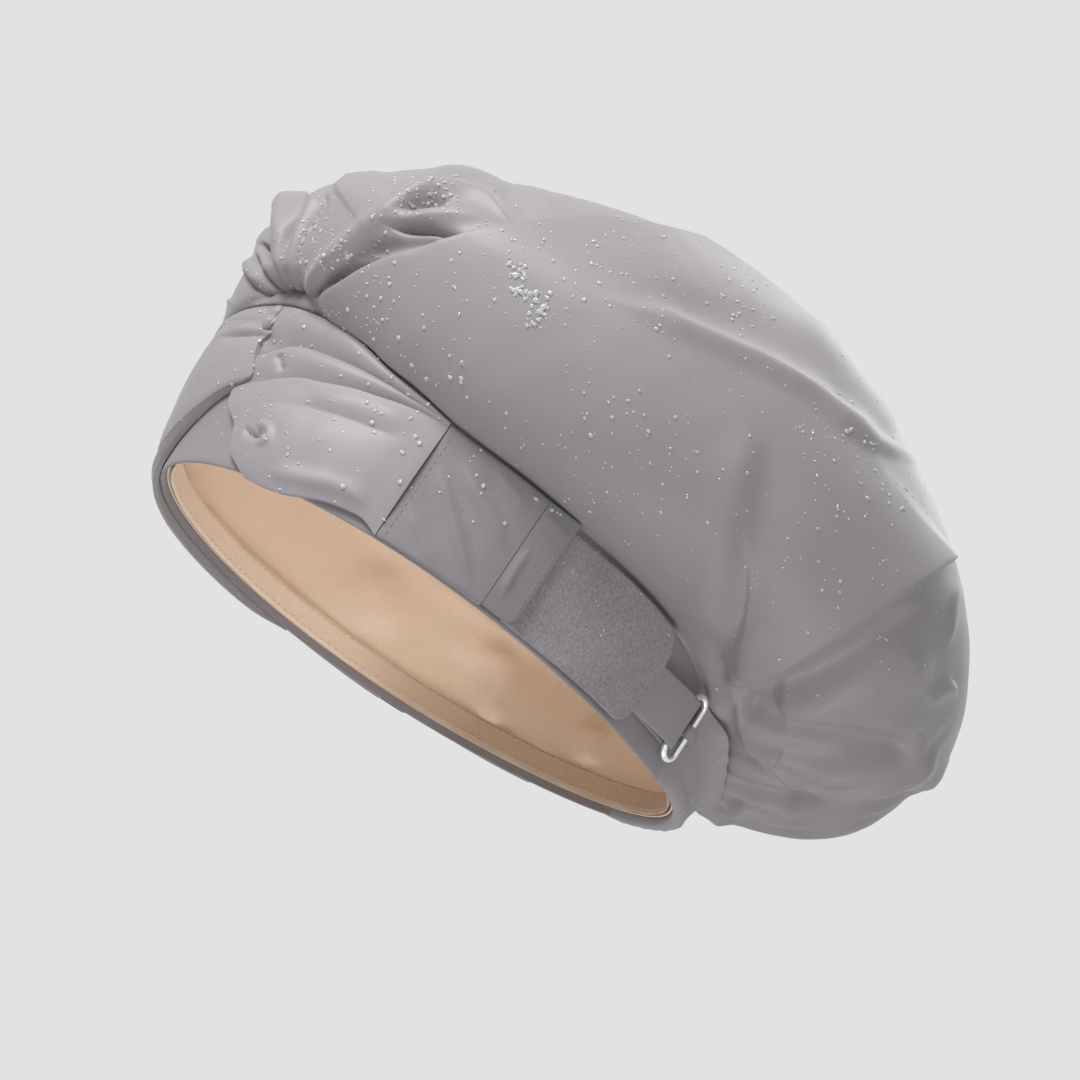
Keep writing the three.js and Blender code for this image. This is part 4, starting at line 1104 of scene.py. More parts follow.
def add_ring(name, side):
    """A wire ring with round ends: a circle spun round each end, and its straight bars bridged."""
    front = on_band(FRONT_BAR_ANGLE, BAR_OUT, 0)
    back = on_band(BACK_BAR_ANGLE, BAR_OUT, 0)
    pitch = np.linalg.norm(back - front)
    x = (back - front) / pitch
    y = np.cross([0, 0, 1], x)
    centre = (front + back) / 2 + np.array([0, 0, RING_FOOT + RING_LENGTH / 2])
    bar = (RING_LENGTH - WIRE - pitch) / 2
    bpy.ops.object.select_all(action="DESELECT")
    bpy.ops.mesh.primitive_circle_add(vertices=WIRE_SIDES, radius=WIRE / 2 * MM,
                                      location=(pitch / 2 * MM, 0, 0))
    piece = bpy.context.object
    piece.name = piece.data.name = name
    bpy.ops.object.transform_apply(location=True)
    bpy.ops.object.mode_set(mode="EDIT")
    bpy.ops.mesh.select_all(action="SELECT")
    bpy.ops.mesh.extrude_region_move(TRANSFORM_OT_translate={"value": (0, 0, bar * MM)})
    bpy.ops.mesh.spin(steps=WIRE_BEND_STEPS, angle=math.pi, center=(0, 0, bar * MM), axis=(0, 1, 0))
    bpy.ops.mesh.extrude_region_move(TRANSFORM_OT_translate={"value": (0, 0, -bar * MM)})
    bpy.ops.mesh.select_all(action="SELECT")
    bpy.ops.mesh.duplicate()
    bpy.ops.transform.resize(value=(1, 1, -1), center_override=(0, 0, 0))
    bpy.ops.object.mode_set(mode="OBJECT")
    face_out(piece)
    for vertex in piece.data.vertices:
        place = centre * MM + x * vertex.co.x + y * vertex.co.y
        place[2] += vertex.co.z
        vertex.co = Vector(place)
    shade(piece, ROUND_SHADE_ANGLE)
    if side == "right":
        mirror(piece)
        face_out(piece)
    return piece


# The gathered casing at the nape

CASING_DEPTH = 5.5
CASING_FLARE = 7
CASING_FLARE_START_SHARE = 0.35
CASING_START = 147.2
CASING_RISE = 6.5
CASING_END_SHARE = 0.3
CASING_WALL = 0.6
CASING_ROOM = 0.9
CASING_COLUMNS = 440
CASING_SIDES = 64
CASING_TOP_GAP = 0.4
CASING_LEAST_OUT = 0.05
CASING_SQUARE_POWERS = (0.6, 0.55)
# The stitched waist: how deep and how wide it is and where it lies, as shares
CASING_WAIST_SHARES = (0.12, 0.16, 0.42)
RUFFLE_DEPTH = 0.9
RUFFLE_SINK = 0.2
RUFFLE_LEAN = 3.2
RUFFLE_LEAN_START_SHARE = 0.3
RUFFLE_SHARPNESS = 2.2
CASING_GATHERS = [  # angle past the casing's end, width in degrees, how far it stands out
    (3, 2.6, 1.1), (7.5, 2.2, 0.9), (11, 1.6, 1.3), (15.5, 2.4, 0.8), (20, 2, 1.2), (24.5, 2.6, 0.9),
    (29, 1.8, 1.2), (33, 2.4, 1), (38, 2.2, 1.3), (43, 2.6, 0.9), (47.5, 1.9, 1.2), (52, 2.4, 1),
    (56, 2, 1.2), (59.5, 1.6, 0.9),
]


ELASTIC_START = 1.5
ELASTIC_THICKNESS = 1.2
ELASTIC_ROOM = 2.2
ELASTIC_FOOT = 2
ELASTIC_WIDTH = 7
ELASTIC_RIBS = 7
ELASTIC_RIB = 0.12
ELASTIC_RIB_SHARE = 0.8
ELASTIC_WAVE = 0.1
ELASTIC_WAVE_RATE = 2.2


def gathers(angle, shift):
    """Cloth drawn up by the elastic: uneven ruffles, from 0 to about 1.3."""
    past = angle - CASING_ANGLE + shift
    return sum(rise * np.exp(-((past - place) / width) ** 2 * RUFFLE_SHARPNESS)
               for place, width, rise in CASING_GATHERS)


def casing_place(angle, a):
    """A point of the casing: the angle goes round the opening, a round the casing itself."""
    deep = CASING_DEPTH - CASING_ROOM
    past = min(angle - CASING_START, FULL_TURN - CASING_START - angle)
    puff = mix(CASING_END_SHARE, 1, smooth(past, 0, CASING_RISE))
    flat_power, bulge_power = CASING_SQUARE_POWERS
    up = 0.5 - 0.5 * math.cos(a)
    flat_up = 0.5 + 0.5 * np.sign(-math.cos(a)) * abs(math.cos(a)) ** flat_power
    bulge = np.sign(math.sin(a)) * abs(math.sin(a)) ** bulge_power
    out = deep / 2 + bulge * deep / 2
    if bulge > 0:
        ruffle = float(gathers(angle, RUFFLE_LEAN * (up - RUFFLE_LEAN_START_SHARE)))
        depth, width, height = CASING_WAIST_SHARES
        waist = 1 - depth * math.exp(-((up - height) / width) ** 2)
        flare_up = max(0, (up - CASING_FLARE_START_SHARE) / (1 - CASING_FLARE_START_SHARE))
        out = out * waist + (RUFFLE_DEPTH * ruffle - RUFFLE_SINK) * bulge + CASING_FLARE * flare_up ** 2
    rise = (float(band_top(angle)) + CASING_TOP_GAP) * flat_up
    return on_band(angle, max(out * puff, CASING_LEAST_OUT), rise)


def add_casing():
    """The gathered tube of cloth at the nape, open at its ends."""
    angles = np.linspace(CASING_START, FULL_TURN - CASING_START, CASING_COLUMNS)
    around = np.linspace(0, 2 * math.pi, CASING_SIDES, endpoint=False)
    rings = np.array([[casing_place(angle, a) for a in around] for angle in angles])
    piece = tube("back_casing_cloth", rings, closed_ends=False)
    add_wall(piece, CASING_WALL, -1, ROUND_SHADE_ANGLE)
    return piece


def add_elastic():
    """The ribbed elastic in the casing."""
    first = CASING_ANGLE + ELASTIC_START
    low = (CASING_DEPTH - ELASTIC_ROOM) / 2
    turn = np.linspace(first, FULL_TURN - first, 260)[:, None]
    v = np.linspace(0, 1, 15)[None]
    ribs = ELASTIC_RIB * np.sin(v * ELASTIC_RIBS * math.pi) ** 2
    wave = ELASTIC_WAVE * np.sin(turn * ELASTIC_WAVE_RATE) * np.ones_like(v)
    front = on_band(turn, low + ELASTIC_THICKNESS + ribs * ELASTIC_RIB_SHARE + wave,
                    ELASTIC_FOOT + ELASTIC_WIDTH * v)
    back = on_band(turn, low + wave, ELASTIC_FOOT + ELASTIC_WIDTH * v)
    return solid_patch("back_elastic_band", front, back)


# The lining and its facing

LINING_FOLDS = [
    ([(452, 560), (470, 600), (478, 640), (470, 680)], 2.2, 9, 0.2, 0.3),
    ([(498, 642), (500, 675), (492, 706), (492, 735)], 3.2, 4.5, 0.2, 0.2),
    ([(500, 740), (530, 755), (558, 757)], 2, 4, 0.2, 0.2),
    ([(596, 722), (592, 745), (588, 770)], 2.4, 4, 0.2, 0.2),
    ([(240, 490), (262, 505), (300, 522), (345, 535)], -2, 6, 0.2, 0.3),
    ([(368, 560), (378, 600), (385, 640)], 2, 9, 0.3, 0.3),
    ([(185, 470), (192, 500), (200, 520)], 1.6, 4, 0.3, 0.3),
]
LINING_WALL = 0.6
LINING_FOOT = 2.4
LINING_INSET = -(LAYER_GAP + 0.5)
LINING_COLUMNS = 260
LINING_BAND_ROWS = 22
LINING_CROWN_ROWS = 90
LINING_OVER_BAND = 4.5
# How far the lining draws in at the band's top, and how far it hangs under the crown
LINING_DRAW_IN = 1.2
LINING_DRAW_SHARES = (0.8, 1)
LINING_CROWN_START_SHARE = 0.03
LINING_HANG = 7
LINING_HANG_MORE = 3.5
LINING_HANG_SHARES = (0.03, 0.07)
LINING_PEAK_DROP = 10.5
LINING_SEEN_TURN = (0, 0.4)
LINING_FREE_HEIGHTS = (2, 16)
LINING_WAVES = [(0.9, 55, 31), (0.3, 20, 32)]
LINING_LEAST_WAVE = 0.6
FACING_HEIGHT = 8
FACING_THICKNESS = 0.75
FACING_GAP = 0.2
FACING_WAVE = 0.15
FACING_WAVES = 23
FACING_ROUND = 0.3
FACING_ROUND_REACH = 0.4
FACING_EDGE_LENGTH = 9


def lining_base():
    """The lining before its folds, from the rim up the band and on under the crown."""
    angles = crown_angles(LINING_COLUMNS)
    v = np.linspace(0, 1, LINING_BAND_ROWS)
    angle, v = np.meshgrid(angles, v, indexing="ij")
    low = on_band(angle, LINING_INSET - LINING_DRAW_IN * smooth(v, *LINING_DRAW_SHARES),
                  mix(LINING_FOOT, band_top(angle) + LINING_OVER_BAND, v))
    t = np.linspace(LINING_CROWN_START_SHARE, 1, LINING_CROWN_ROWS)
    angle, t = np.meshgrid(angles, t, indexing="ij")
    crown = crown_base(angle, t)
    under = LINING_HANG + LINING_HANG_MORE * smooth(t, *LINING_HANG_SHARES)
    high = crown - dome_normals(crown) * under[..., None]
    return np.concatenate([low, high[:, :-1]], 1)


def add_lining():
    """The lining, a little loose, with the folds that the photograph shows in it."""
    points = lining_base()
    flat = points.reshape(-1, 3)
    normals = grid_normals(np.concatenate([points, points[:1]]))[:-1].reshape(-1, 3)
    inward = smooth(-(normals @ TO_CAMERA), *LINING_SEEN_TURN)
    push, _ = folded(to_photo(flat), LINING_FOLDS)
    soft = sum(height * ripples(flat, length, seed) for height, length, seed in LINING_WAVES)
    free = smooth(flat[:, 2], *LINING_FREE_HEIGHTS)
    push = (np.maximum(push, 0) * inward + np.maximum(soft, -LINING_LEAST_WAVE)) * free
    places = (flat - normals * push[:, None]).reshape(points.shape)
    piece = dome("lining_cloth", places, (0, PEAK_Y, CROWN_HEIGHT - LINING_PEAK_DROP))
    add_wall(piece, LINING_WALL, 1, FOLD_SHADE_ANGLE)
    return piece


def add_facing():
    """The hem tape round the inside of the rim."""
    turn = np.linspace(-HALF_TURN, HALF_TURN, 420, endpoint=False)[:, None]
    v = np.linspace(0, 1, 14)[None]
    wave = FACING_WAVE * np.sin(np.radians(turn) * FACING_WAVES) + 0 * v
    inner = LINING_INSET - LINING_WALL - FACING_GAP
    edge = FACING_ROUND * np.exp(-np.minimum(v, 1 - v) * FACING_EDGE_LENGTH / FACING_ROUND_REACH)
    z = LINING_FOOT + FACING_HEIGHT * v
    return solid_patch("lining_facing_tape", on_band(turn, inner, z),
                       on_band(turn, inner - FACING_THICKNESS + edge + wave / 2, z + wave), wraps=True)


# Stitches: short rounded threads along a line on the band

STITCH_PITCH = 2.6
STITCH_LENGTH = 1.9
STITCH_RADIUS = 0.16
THREAD_SIDES = 6
# Rings of a stitch: how far along half its length, and rise and size as shares of its radius
STITCH_RING_SHARES = [(-1, -0.9, 0.35), (-0.7, 0.1, 0.85), (0, 0.55, 1), (0.7, 0.1, 0.85), (1, -0.9, 0.35)]
THREAD_LIFT = 0.02
# Where the rays that find a finished piece start, out from the band, and how far a missed one goes
RAYS_FROM_OUTSIDE = (30, 26)
RAYS_FROM_INSIDE = (-20, 18)
PANEL_SEAM_STEP = 1.3
PANEL_SEAM_HEIGHTS = (1.5, 40, 60)
FLAP_SEAM_INSET = 1.7
FLAP_SEAM_FOOT_GAP = 2.5
FLAP_SEAM_TOP_GAP = 2
FACING_SEAM_HEIGHTS = (FACING_HEIGHT - 1, 1.2)
FACING_SEAM_ANGLE = 178


def stitch_row(lines):
    """Points and faces of thread stitches laid along lines of (place, outward way)."""
    points, faces = [], []
    for place, way in lines:
        steps = np.linalg.norm(np.diff(place, axis=0), axis=-1)
        far = np.concatenate([[0], np.cumsum(steps)])

        def at(distance, rows):
            return np.array([np.interp(distance, far, rows[:, c]) for c in range(3)])
        for k in range(int(far[-1] / STITCH_PITCH)):
            middle = (k + 0.5) * STITCH_PITCH
            path = [at(middle + share * STITCH_LENGTH / 2, place) for share, _, _ in STITCH_RING_SHARES]
            out = at(middle, way)
            across = np.cross(unit(path[-1] - path[0]), out)
            start = len(points)
            for p, (_, rise, size) in zip(path, STITCH_RING_SHARES):
                for corner in range(THREAD_SIDES):
                    a = 2 * math.pi / THREAD_SIDES * corner
                    points.append(p + out * STITCH_RADIUS * (rise + size * math.sin(a)) +
                                  across * STITCH_RADIUS * size * math.cos(a))
            for ring in range(len(path) - 1):
                a = start + ring * THREAD_SIDES
                b = a + THREAD_SIDES
                for corner in range(THREAD_SIDES):
                    following = (corner + 1) % THREAD_SIDES
                    faces.append((a + corner, a + following, b + following, b + corner))
            faces.append(tuple(range(start, start + THREAD_SIDES))[::-1])
            faces.append(tuple(range(len(points) - THREAD_SIDES, len(points))))
    return points, faces


def line_on(piece, angles, heights, rays):
    """A line that lies on a finished piece, with its outward ways, found by casting rays at the
    band's face from one side of the piece."""
    tree = tree_of(piece)
    start, missed = rays
    angles, heights = np.broadcast_arrays(np.asarray(angles, float), heights)
    way = outline_normal(angles) * np.sign(start)
    way = np.concatenate([way, np.zeros((len(way), 1))], -1)
    found = []
    for p, w in zip(on_band(angles, start, heights), way):
        hit = tree.ray_cast(Vector(p * MM), Vector(-w))[0]
        found.append(np.array(hit) / MM + w * THREAD_LIFT if hit else p - w * missed)
    return np.array(found), way


def tree_of(*pieces):
    """A ray tree over several pieces, in metres."""
    points, faces = [], []
    for piece in pieces:
        start = len(points)
        points += [v.co.copy() for v in piece.data.vertices]
        faces += [tuple(start + i for i in p.vertices) for p in piece.data.polygons]
    return BVHTree.FromPolygons(points, faces)


def mirrored_line(line):
    place, way = line
    flip = np.array([-1, 1, 1])
    return place * flip, way * flip


def add_thread(name, lines):
    piece = new_object(name, *stitch_row(lines))
    face_out(piece)
    shade(piece, THREAD_SHADE_ANGLE)
    return piece


# Water beads that stand on the coated cloth

BEAD_FIELDS = [  # pixels of a box in the photograph, how many, smallest and largest radius
    ((300, 215, 780, 330), 150, 0.28, 0.7), ((480, 170, 800, 300), 130, 0.3, 0.85),
    ((508, 262, 528, 300), 34, 0.4, 1), ((526, 292, 548, 328), 30, 0.4, 1.1),
    ((560, 300, 960, 640), 170, 0.28, 0.6), ((230, 300, 470, 440), 90, 0.3, 0.8),
    ((240, 170, 400, 330), 110, 0.3, 0.75), ((390, 175, 460, 215), 90, 0.3, 0.8),
    ((300, 225, 350, 270), 45, 0.3, 0.8), ((240, 400, 520, 530), 50, 0.35, 0.9),
    ((520, 400, 700, 520), 60, 0.28, 0.75), ((700, 240, 860, 330), 90, 0.3, 0.85),
    ((800, 360, 950, 520), 110, 0.3, 0.8), ((700, 560, 960, 700), 24, 0.28, 0.6),
    ((160, 300, 260, 480), 40, 0.28, 0.6),
]
BEAD_BODIES = ["root", "flap_left", "strap_left", "flap_right", "strap_right"]
BEAD_SEED = 11
BEAD_SIZE_POWER = 2.6
BEAD_MIRROR_SHARE = 0.55
LEAST_FACING = 0.12
BEAD_STRETCH_SHARES = (0.85, 1.25)
# A bead's foot, its flattening and how high it stands, as shares of its radius
BEAD_FOOT_SHARE = 0.25
BEAD_FLAT_SHARE = 0.62
BEAD_RISE_SHARE = 0.1


def first_hit(trees, start, ahead):
    """The body, place and normal of the first cloth that a ray meets, if it meets any."""
    hits = []
    for body, tree in trees.items():
        place, normal, _, distance = tree.ray_cast(start, ahead)
        if place:
            hits.append((distance, body, place, normal))
    return min(hits, key=lambda hit: hit[0])[1:] if hits else None


def place_beads(trees, draw):
    """Where beads sit: for each body, lists of place, outward way and radius."""
    found = {body: [] for body in trees}
    eye = Vector(CAMERA_PLACE * MM)
    for (x0, y0, x1, y1), count, small, large in BEAD_FIELDS:
        for _ in range(count):
            x, y = draw.uniform(x0, x1), draw.uniform(y0, y1)
            radius = small + (large - small) * draw.uniform() ** BEAD_SIZE_POWER
            way = unit(-TO_CAMERA * PHOTO_DISTANCE + IMAGE_RIGHT * (x - PHOTO_SIZE / 2) / PHOTO_SCALE
                       - IMAGE_UP * (y - PHOTO_SIZE / 2) / PHOTO_SCALE)
            flips = [Vector((1, 1, 1))]
            if draw.uniform() < BEAD_MIRROR_SHARE:
                flips.append(Vector((-1, 1, 1)))
            for flip in flips:
                ahead = Vector(way) * flip
                hit = first_hit(trees, eye * flip, ahead)
                if not hit:
                    continue
                body, place, normal = hit
                if body == "inside" or abs(normal.dot(ahead)) < LEAST_FACING:
                    continue
                if normal.dot(ahead) > 0:
                    normal = -normal
                found[body].append((place.copy(), normal.copy(), radius))
    return found


def add_beads(name, places, draw):
    """Flattened drops of water, modelled once and set on the cloth."""
    bpy.ops.object.select_all(action="DESELECT")
    bpy.ops.mesh.primitive_ico_sphere_add(subdivisions=2, radius=1)
    drop = bpy.context.object
    corners = [v.co.copy() for v in drop.data.vertices]
    sides = [tuple(p.vertices) for p in drop.data.polygons]
    bpy.data.objects.remove(drop)
    points, faces = [], []
    for place, normal, radius in places:
        turn = normal.to_track_quat("Z", "Y").to_matrix()
        stretch = draw.uniform(*BEAD_STRETCH_SHARES)
        start = len(points)
        for c in corners:
            z = max(c.z, -BEAD_FOOT_SHARE) * BEAD_FLAT_SHARE
            local = Vector((c.x * stretch, c.y / stretch, z + BEAD_RISE_SHARE)) * radius * MM
            points.append(np.array(place + turn @ local) / MM)
        faces += [tuple(start + i for i in side) for side in sides]
    piece = new_object(name, points, faces)
    shade(piece, ROUND_SHADE_ANGLE)
    return piece


# Shader nodes

def fill(tree, node, inputs):
    """Values for a node's inputs, and links where a value is another node's output."""
    for key, value in inputs.items():
        if isinstance(value, bpy.types.NodeSocket):
            tree.links.new(value, node.inputs[key])
        else:
            node.inputs[key].default_value = value


def add_node(tree, kind, inputs=None, **settings):
    node = tree.nodes.new(kind)
    for key, value in settings.items():
        setattr(node, key, value)
    fill(tree, node, inputs or {})
    return node


def math_node(tree, operation, *values):
    return add_node(tree, "ShaderNodeMath", dict(enumerate(values)), operation=operation).outputs[0]


def object_place(tree):
    return add_node(tree, "ShaderNodeTexCoord").outputs["Object"]


def noise_node(tree, place, scale, detail, roughness=0.5):
    inputs = {"Vector": place, "Scale": scale, "Detail": detail, "Roughness": roughness}
    return add_node(tree, "ShaderNodeTexNoise", inputs).outputs["Fac"]


def spread(tree, value, amount):
    """A value round a half, turned into one of a given spread round nothing."""
    return math_node(tree, "MULTIPLY", math_node(tree, "SUBTRACT", value, 0.5), amount)


# Shared patterns, each built once: named numbers go in, and a shade and a height come out

def new_pattern(name, inputs):
    """A shader group's tree, and the sockets inside it that give its inputs and take its outputs."""
    tree = bpy.data.node_groups.new(name, "ShaderNodeTree")
    for label, value in inputs.items():
        socket = tree.interface.new_socket(label, in_out="INPUT", socket_type="NodeSocketFloat")
        socket.default_value = value
    for label in ("Shade", "Height"):
        tree.interface.new_socket(label, in_out="OUTPUT", socket_type="NodeSocketFloat")
    return tree, tree.nodes.new("NodeGroupInput").outputs, tree.nodes.new("NodeGroupOutput")


def cloth_pattern():
    """A fine cloth: a faint grain, threads and soft mottling."""
    tree, given, out = new_pattern("fine_cloth", {"Threads": 1500, "Mottle": 0.06, "Grain": 0.05})
    place = object_place(tree)
    cloudy = noise_node(tree, place, 28, 4)
    grain = noise_node(tree, place, given["Threads"], 2, 0.7)
    bands = {"Vector": place, "Scale": math_node(tree, "MULTIPLY", given["Threads"], 0.45),
             "Distortion": 1.5, "Detail": 1}
    waves = [add_node(tree, "ShaderNodeTexWave", bands, wave_type="BANDS",
                      bands_direction=way).outputs["Fac"] for way in ("X", "Y", "Z")]
    threads = math_node(tree, "MULTIPLY", math_node(tree, "ADD", waves[0], waves[1]), waves[2])
    uneven = math_node(tree, "ADD", spread(tree, cloudy, given["Mottle"]),
                       spread(tree, grain, given["Grain"]))
    fill(tree, out, {"Shade": math_node(tree, "ADD", uneven, 1),
                     "Height": math_node(tree, "ADD", math_node(tree, "MULTIPLY", threads, 0.5), grain)})
    return tree


def pile_pattern():
    """Brushed loop pile: heathered light and dark fibres."""
    tree, given, out = new_pattern("brushed_pile", {"Scale": 900})
    place = object_place(tree)
    coarse = noise_node(tree, place, given["Scale"], 4, 0.75)
    wide = noise_node(tree, place, 60, 3)
    fine = noise_node(tree, place, math_node(tree, "MULTIPLY", given["Scale"], 2.7), 3, 0.7)
    uneven = math_node(tree, "ADD", spread(tree, coarse, 1.5), spread(tree, wide, 0.3))
    fill(tree, out, {"Shade": math_node(tree, "ADD", uneven, 1),
                     "Height": math_node(tree, "ADD", coarse, math_node(tree, "MULTIPLY", fine, 0.5))})
    return tree


FINE_CLOTH = cloth_pattern()
BRUSHED_PILE = pile_pattern()

# Materials

SHELL_COLOUR = (0.31, 0.288, 0.306)
BAND_COLOUR = (0.228, 0.212, 0.225)
# The base band's colour: the band cloth painted lighter, as painted light against the shadow under the
# crown's edge
BASE_PAINTED_LIGHT_COLOUR = (0.27, 0.25, 0.265)
LINING_COLOUR = (0.93, 0.74, 0.575)
# The facing's back colour, darker than its lining-coloured front: painted shade on one and the same tape
FACING_PAINTED_SHADE_COLOUR = (0.62, 0.46, 0.335)
LOOP_COLOUR = (0.3, 0.28, 0.3)
HOOK_COLOUR = (0.12, 0.115, 0.12)
ELASTIC_COLOUR = (0.74, 0.72, 0.69)
GREY_THREAD_COLOUR = (0.3, 0.285, 0.3)
TAN_THREAD_COLOUR = (0.74, 0.57, 0.44)
WIRE_COLOUR = (0.9, 0.89, 0.89)
# The water beads' white body is painted highlight: clear drops made pale to stand in for their reflections
WATER_PAINTED_HIGHLIGHT_COLOUR = (0.92, 0.92, 0.93)
# The facing's painted shade: its colour changes from the lit front to the shaded back over this stretch of
# y, in metres
FRONT_END, BACK_START = -0.02, 0.02
SHEEN_ROUGHNESS = 0.45
COAT_ROUGHNESS = 0.35
RELIEF_DEPTH = 0.0002


def new_material(name):
    material = bpy.data.materials.new(name)
    material.use_nodes = True
    tree = material.node_tree
    return material, tree, tree.nodes["Principled BSDF"]


def painted_shade_front_to_back(tree, front, back):
    """Painted shade: a colour that changes softly from the cap's lit front half to its shaded back half."""
    parts = add_node(tree, "ShaderNodeSeparateXYZ", {"Vector": object_place(tree)})
    share = add_node(tree, "ShaderNodeMapRange",
                     {"Value": parts.outputs["Y"], "From Min": FRONT_END, "From Max": BACK_START},
                     interpolation_type="SMOOTHSTEP")
    blend = add_node(tree, "ShaderNodeMix",
                     {"Factor": share.outputs["Result"], "A": (*front, 1), "B": (*back, 1)},
                     data_type="RGBA")
    return blend.outputs["Result"]


def textile(name, colour, group, settings, bump, roughness, sheen=0.2, coat=0.0, lit_front_colour=None):
    """A textile whose random tone and bump come from a shared pattern; a lit front colour paints shade on
    its back half.
    """
    material, tree, shader = new_material(name)
    pattern = add_node(tree, "ShaderNodeGroup", settings, node_tree=group)
    # A lit front colour makes the back half darker: painted shade
    plain = painted_shade_front_to_back(tree, lit_front_colour, colour) if lit_front_colour else (*colour, 1)
    tint = add_node(tree, "ShaderNodeMix", {"Factor": 1, "A": plain, "B": pattern.outputs["Shade"]},
                    data_type="RGBA", blend_type="MULTIPLY")
    relief = add_node(tree, "ShaderNodeBump", {"Strength": bump, "Distance": RELIEF_DEPTH,
                                               "Height": pattern.outputs["Height"]})
    fill(tree, shader, {
        "Base Color": tint.outputs["Result"], "Normal": relief.outputs["Normal"], "Roughness": roughness,
        "Sheen Weight": sheen, "Sheen Roughness": SHEEN_ROUGHNESS, "Coat Weight": coat,
        "Coat Roughness": COAT_ROUGHNESS})
    return material


def wire_material():
    material, tree, shader = new_material("satin_wire")
    streaks = noise_node(tree, object_place(tree), 700, 3)
    rough = add_node(tree, "ShaderNodeMapRange", {"Value": streaks, "To Min": 0.22, "To Max": 0.36})
    fill(tree, shader, {"Base Color": (*WIRE_COLOUR, 1), "Metallic": 0.75,
                        "Roughness": rough.outputs["Result"]})
    return material


def water_material():
    material, tree, shader = new_material("water_bead")
    # Half real transmission and half a white body, which is painted highlight
    fill(tree, shader, {"Base Color": (*WATER_PAINTED_HIGHLIGHT_COLOUR, 1), "Roughness": 0.06, "IOR": 1.45,
                        "Transmission Weight": 0.5})
    return material


def weave(threads, mottle, grain):
    return {"Threads": threads, "Mottle": mottle, "Grain": grain}


def make_materials():
    cloth, pile = FINE_CLOTH, BRUSHED_PILE
    band_weave, thread_twist = weave(1500, 0.14, 0.2), weave(2600, 0.1, 0.3)
    return {
        "shell": textile("satin_shell", SHELL_COLOUR, cloth, weave(1700, 0.1, 0.12), 0.12, 0.53, 0.22,
                         coat=0.05),
        "band": textile("band_cloth", BAND_COLOUR, cloth, band_weave, 0.2, 0.55, 0.25),
        # the base band: a lighter copy of the band cloth, with painted light
        "base": textile("base_cloth", BASE_PAINTED_LIGHT_COLOUR, cloth, band_weave, 0.2, 0.55, 0.25),
        "lining": textile("brushed_lining", LINING_COLOUR, cloth, weave(1300, 0.1, 0.22), 0.3, 0.62, 0.3),
        # the facing: lining-coloured at the front and darker at the back, painted light and shade
        "facing": textile("woven_facing", FACING_PAINTED_SHADE_COLOUR, cloth, weave(1100, 0.14, 0.3), 0.4, 0.7,
                          lit_front_colour=LINING_COLOUR),
        "loop": textile("loop_pile", LOOP_COLOUR, pile, {"Scale": 1100}, 0.6, 0.8, 0.35),
        "hook": textile("hook_nylon", HOOK_COLOUR, pile, {"Scale": 1500}, 0.8, 0.5, 0.1),
        "elastic": textile("ribbed_elastic", ELASTIC_COLOUR, cloth, weave(900, 0.06, 0.25), 0.5, 0.7),
        "wire": wire_material(),
        "thread": textile("grey_thread", GREY_THREAD_COLOUR, cloth, thread_twist, 0.4, 0.5, 0.3),
        "tan_thread": textile("tan_thread", TAN_THREAD_COLOUR, cloth, thread_twist, 0.4, 0.5, 0.3),
        "water": water_material(),
    }


MATERIALS = make_materials()


def dress(piece, material):
    piece.data.materials.clear()
    piece.data.materials.append(material)


# Floor, background, lamps and camera; their sizes and places are in metres

BACKGROUND = (0.76, 0.76, 0.76, 1)
WORLD_LEVEL = 0.32
FLOOR_SIZE = 40
FLOOR_DROP = 0.0004
FLOOR_COLOUR = (0.6, 0.6, 0.6, 1)


def add_floor():
    """A floor that only the camera sees, and only from above, so that it lights nothing."""
    bpy.ops.object.select_all(action="DESELECT")
    bpy.ops.mesh.primitive_plane_add(size=FLOOR_SIZE, location=(0, 0, -FLOOR_DROP))
    floor = bpy.context.object
    floor.name = "floor"
    material, tree, _ = new_material("pale_floor")
    tree.nodes.clear()
    pale = add_node(tree, "ShaderNodeBsdfDiffuse", {"Color": FLOOR_COLOUR})
    clear = add_node(tree, "ShaderNodeBsdfTransparent")
    light = add_node(tree, "ShaderNodeLightPath")
    under = add_node(tree, "ShaderNodeNewGeometry").outputs["Backfacing"]
    above = math_node(tree, "SUBTRACT", 1, under)
    seen = math_node(tree, "MULTIPLY", light.outputs["Is Camera Ray"], above)
    blend = add_node(tree, "ShaderNodeMixShader", {0: seen, 1: clear.outputs[0], 2: pale.outputs[0]})
    add_node(tree, "ShaderNodeOutputMaterial", {"Surface": blend.outputs[0]})
    dress(floor, material)


def add_world():
    """A soft even light, in front of a plain background for the camera, metal and water."""
    world = bpy.data.worlds.new("studio")
    bpy.context.scene.world = world
    world.use_nodes = True
    tree = world.node_tree
    tree.nodes.clear()
    seen = add_node(tree, "ShaderNodeBackground", {"Color": BACKGROUND})
    soft = add_node(tree, "ShaderNodeBackground", {"Color": (1, 1, 1, 1), "Strength": WORLD_LEVEL})
    light = add_node(tree, "ShaderNodeLightPath").outputs
    mirrored = math_node(tree, "MAXIMUM", light["Is Glossy Ray"], light["Is Transmission Ray"])
    plain = math_node(tree, "MAXIMUM", light["Is Camera Ray"], mirrored)
    blend = add_node(tree, "ShaderNodeMixShader", {0: plain, 1: soft.outputs[0], 2: seen.outputs[0]})
    add_node(tree, "ShaderNodeOutputWorld", {"Surface": blend.outputs[0]})


def add_lamp(name, place, power, size, aim=AIM * MM):
    """A soft square lamp that faces the cap's middle or a place in it."""
    data = bpy.data.lights.new(name, "AREA")
    data.energy = power
    data.size = size
    lamp = bpy.data.objects.new(name, data)
    bpy.context.collection.objects.link(lamp)
    lamp.location = Vector(place)
    lamp.rotation_euler = (Vector(aim) - lamp.location).to_track_quat("-Z", "Y").to_euler()


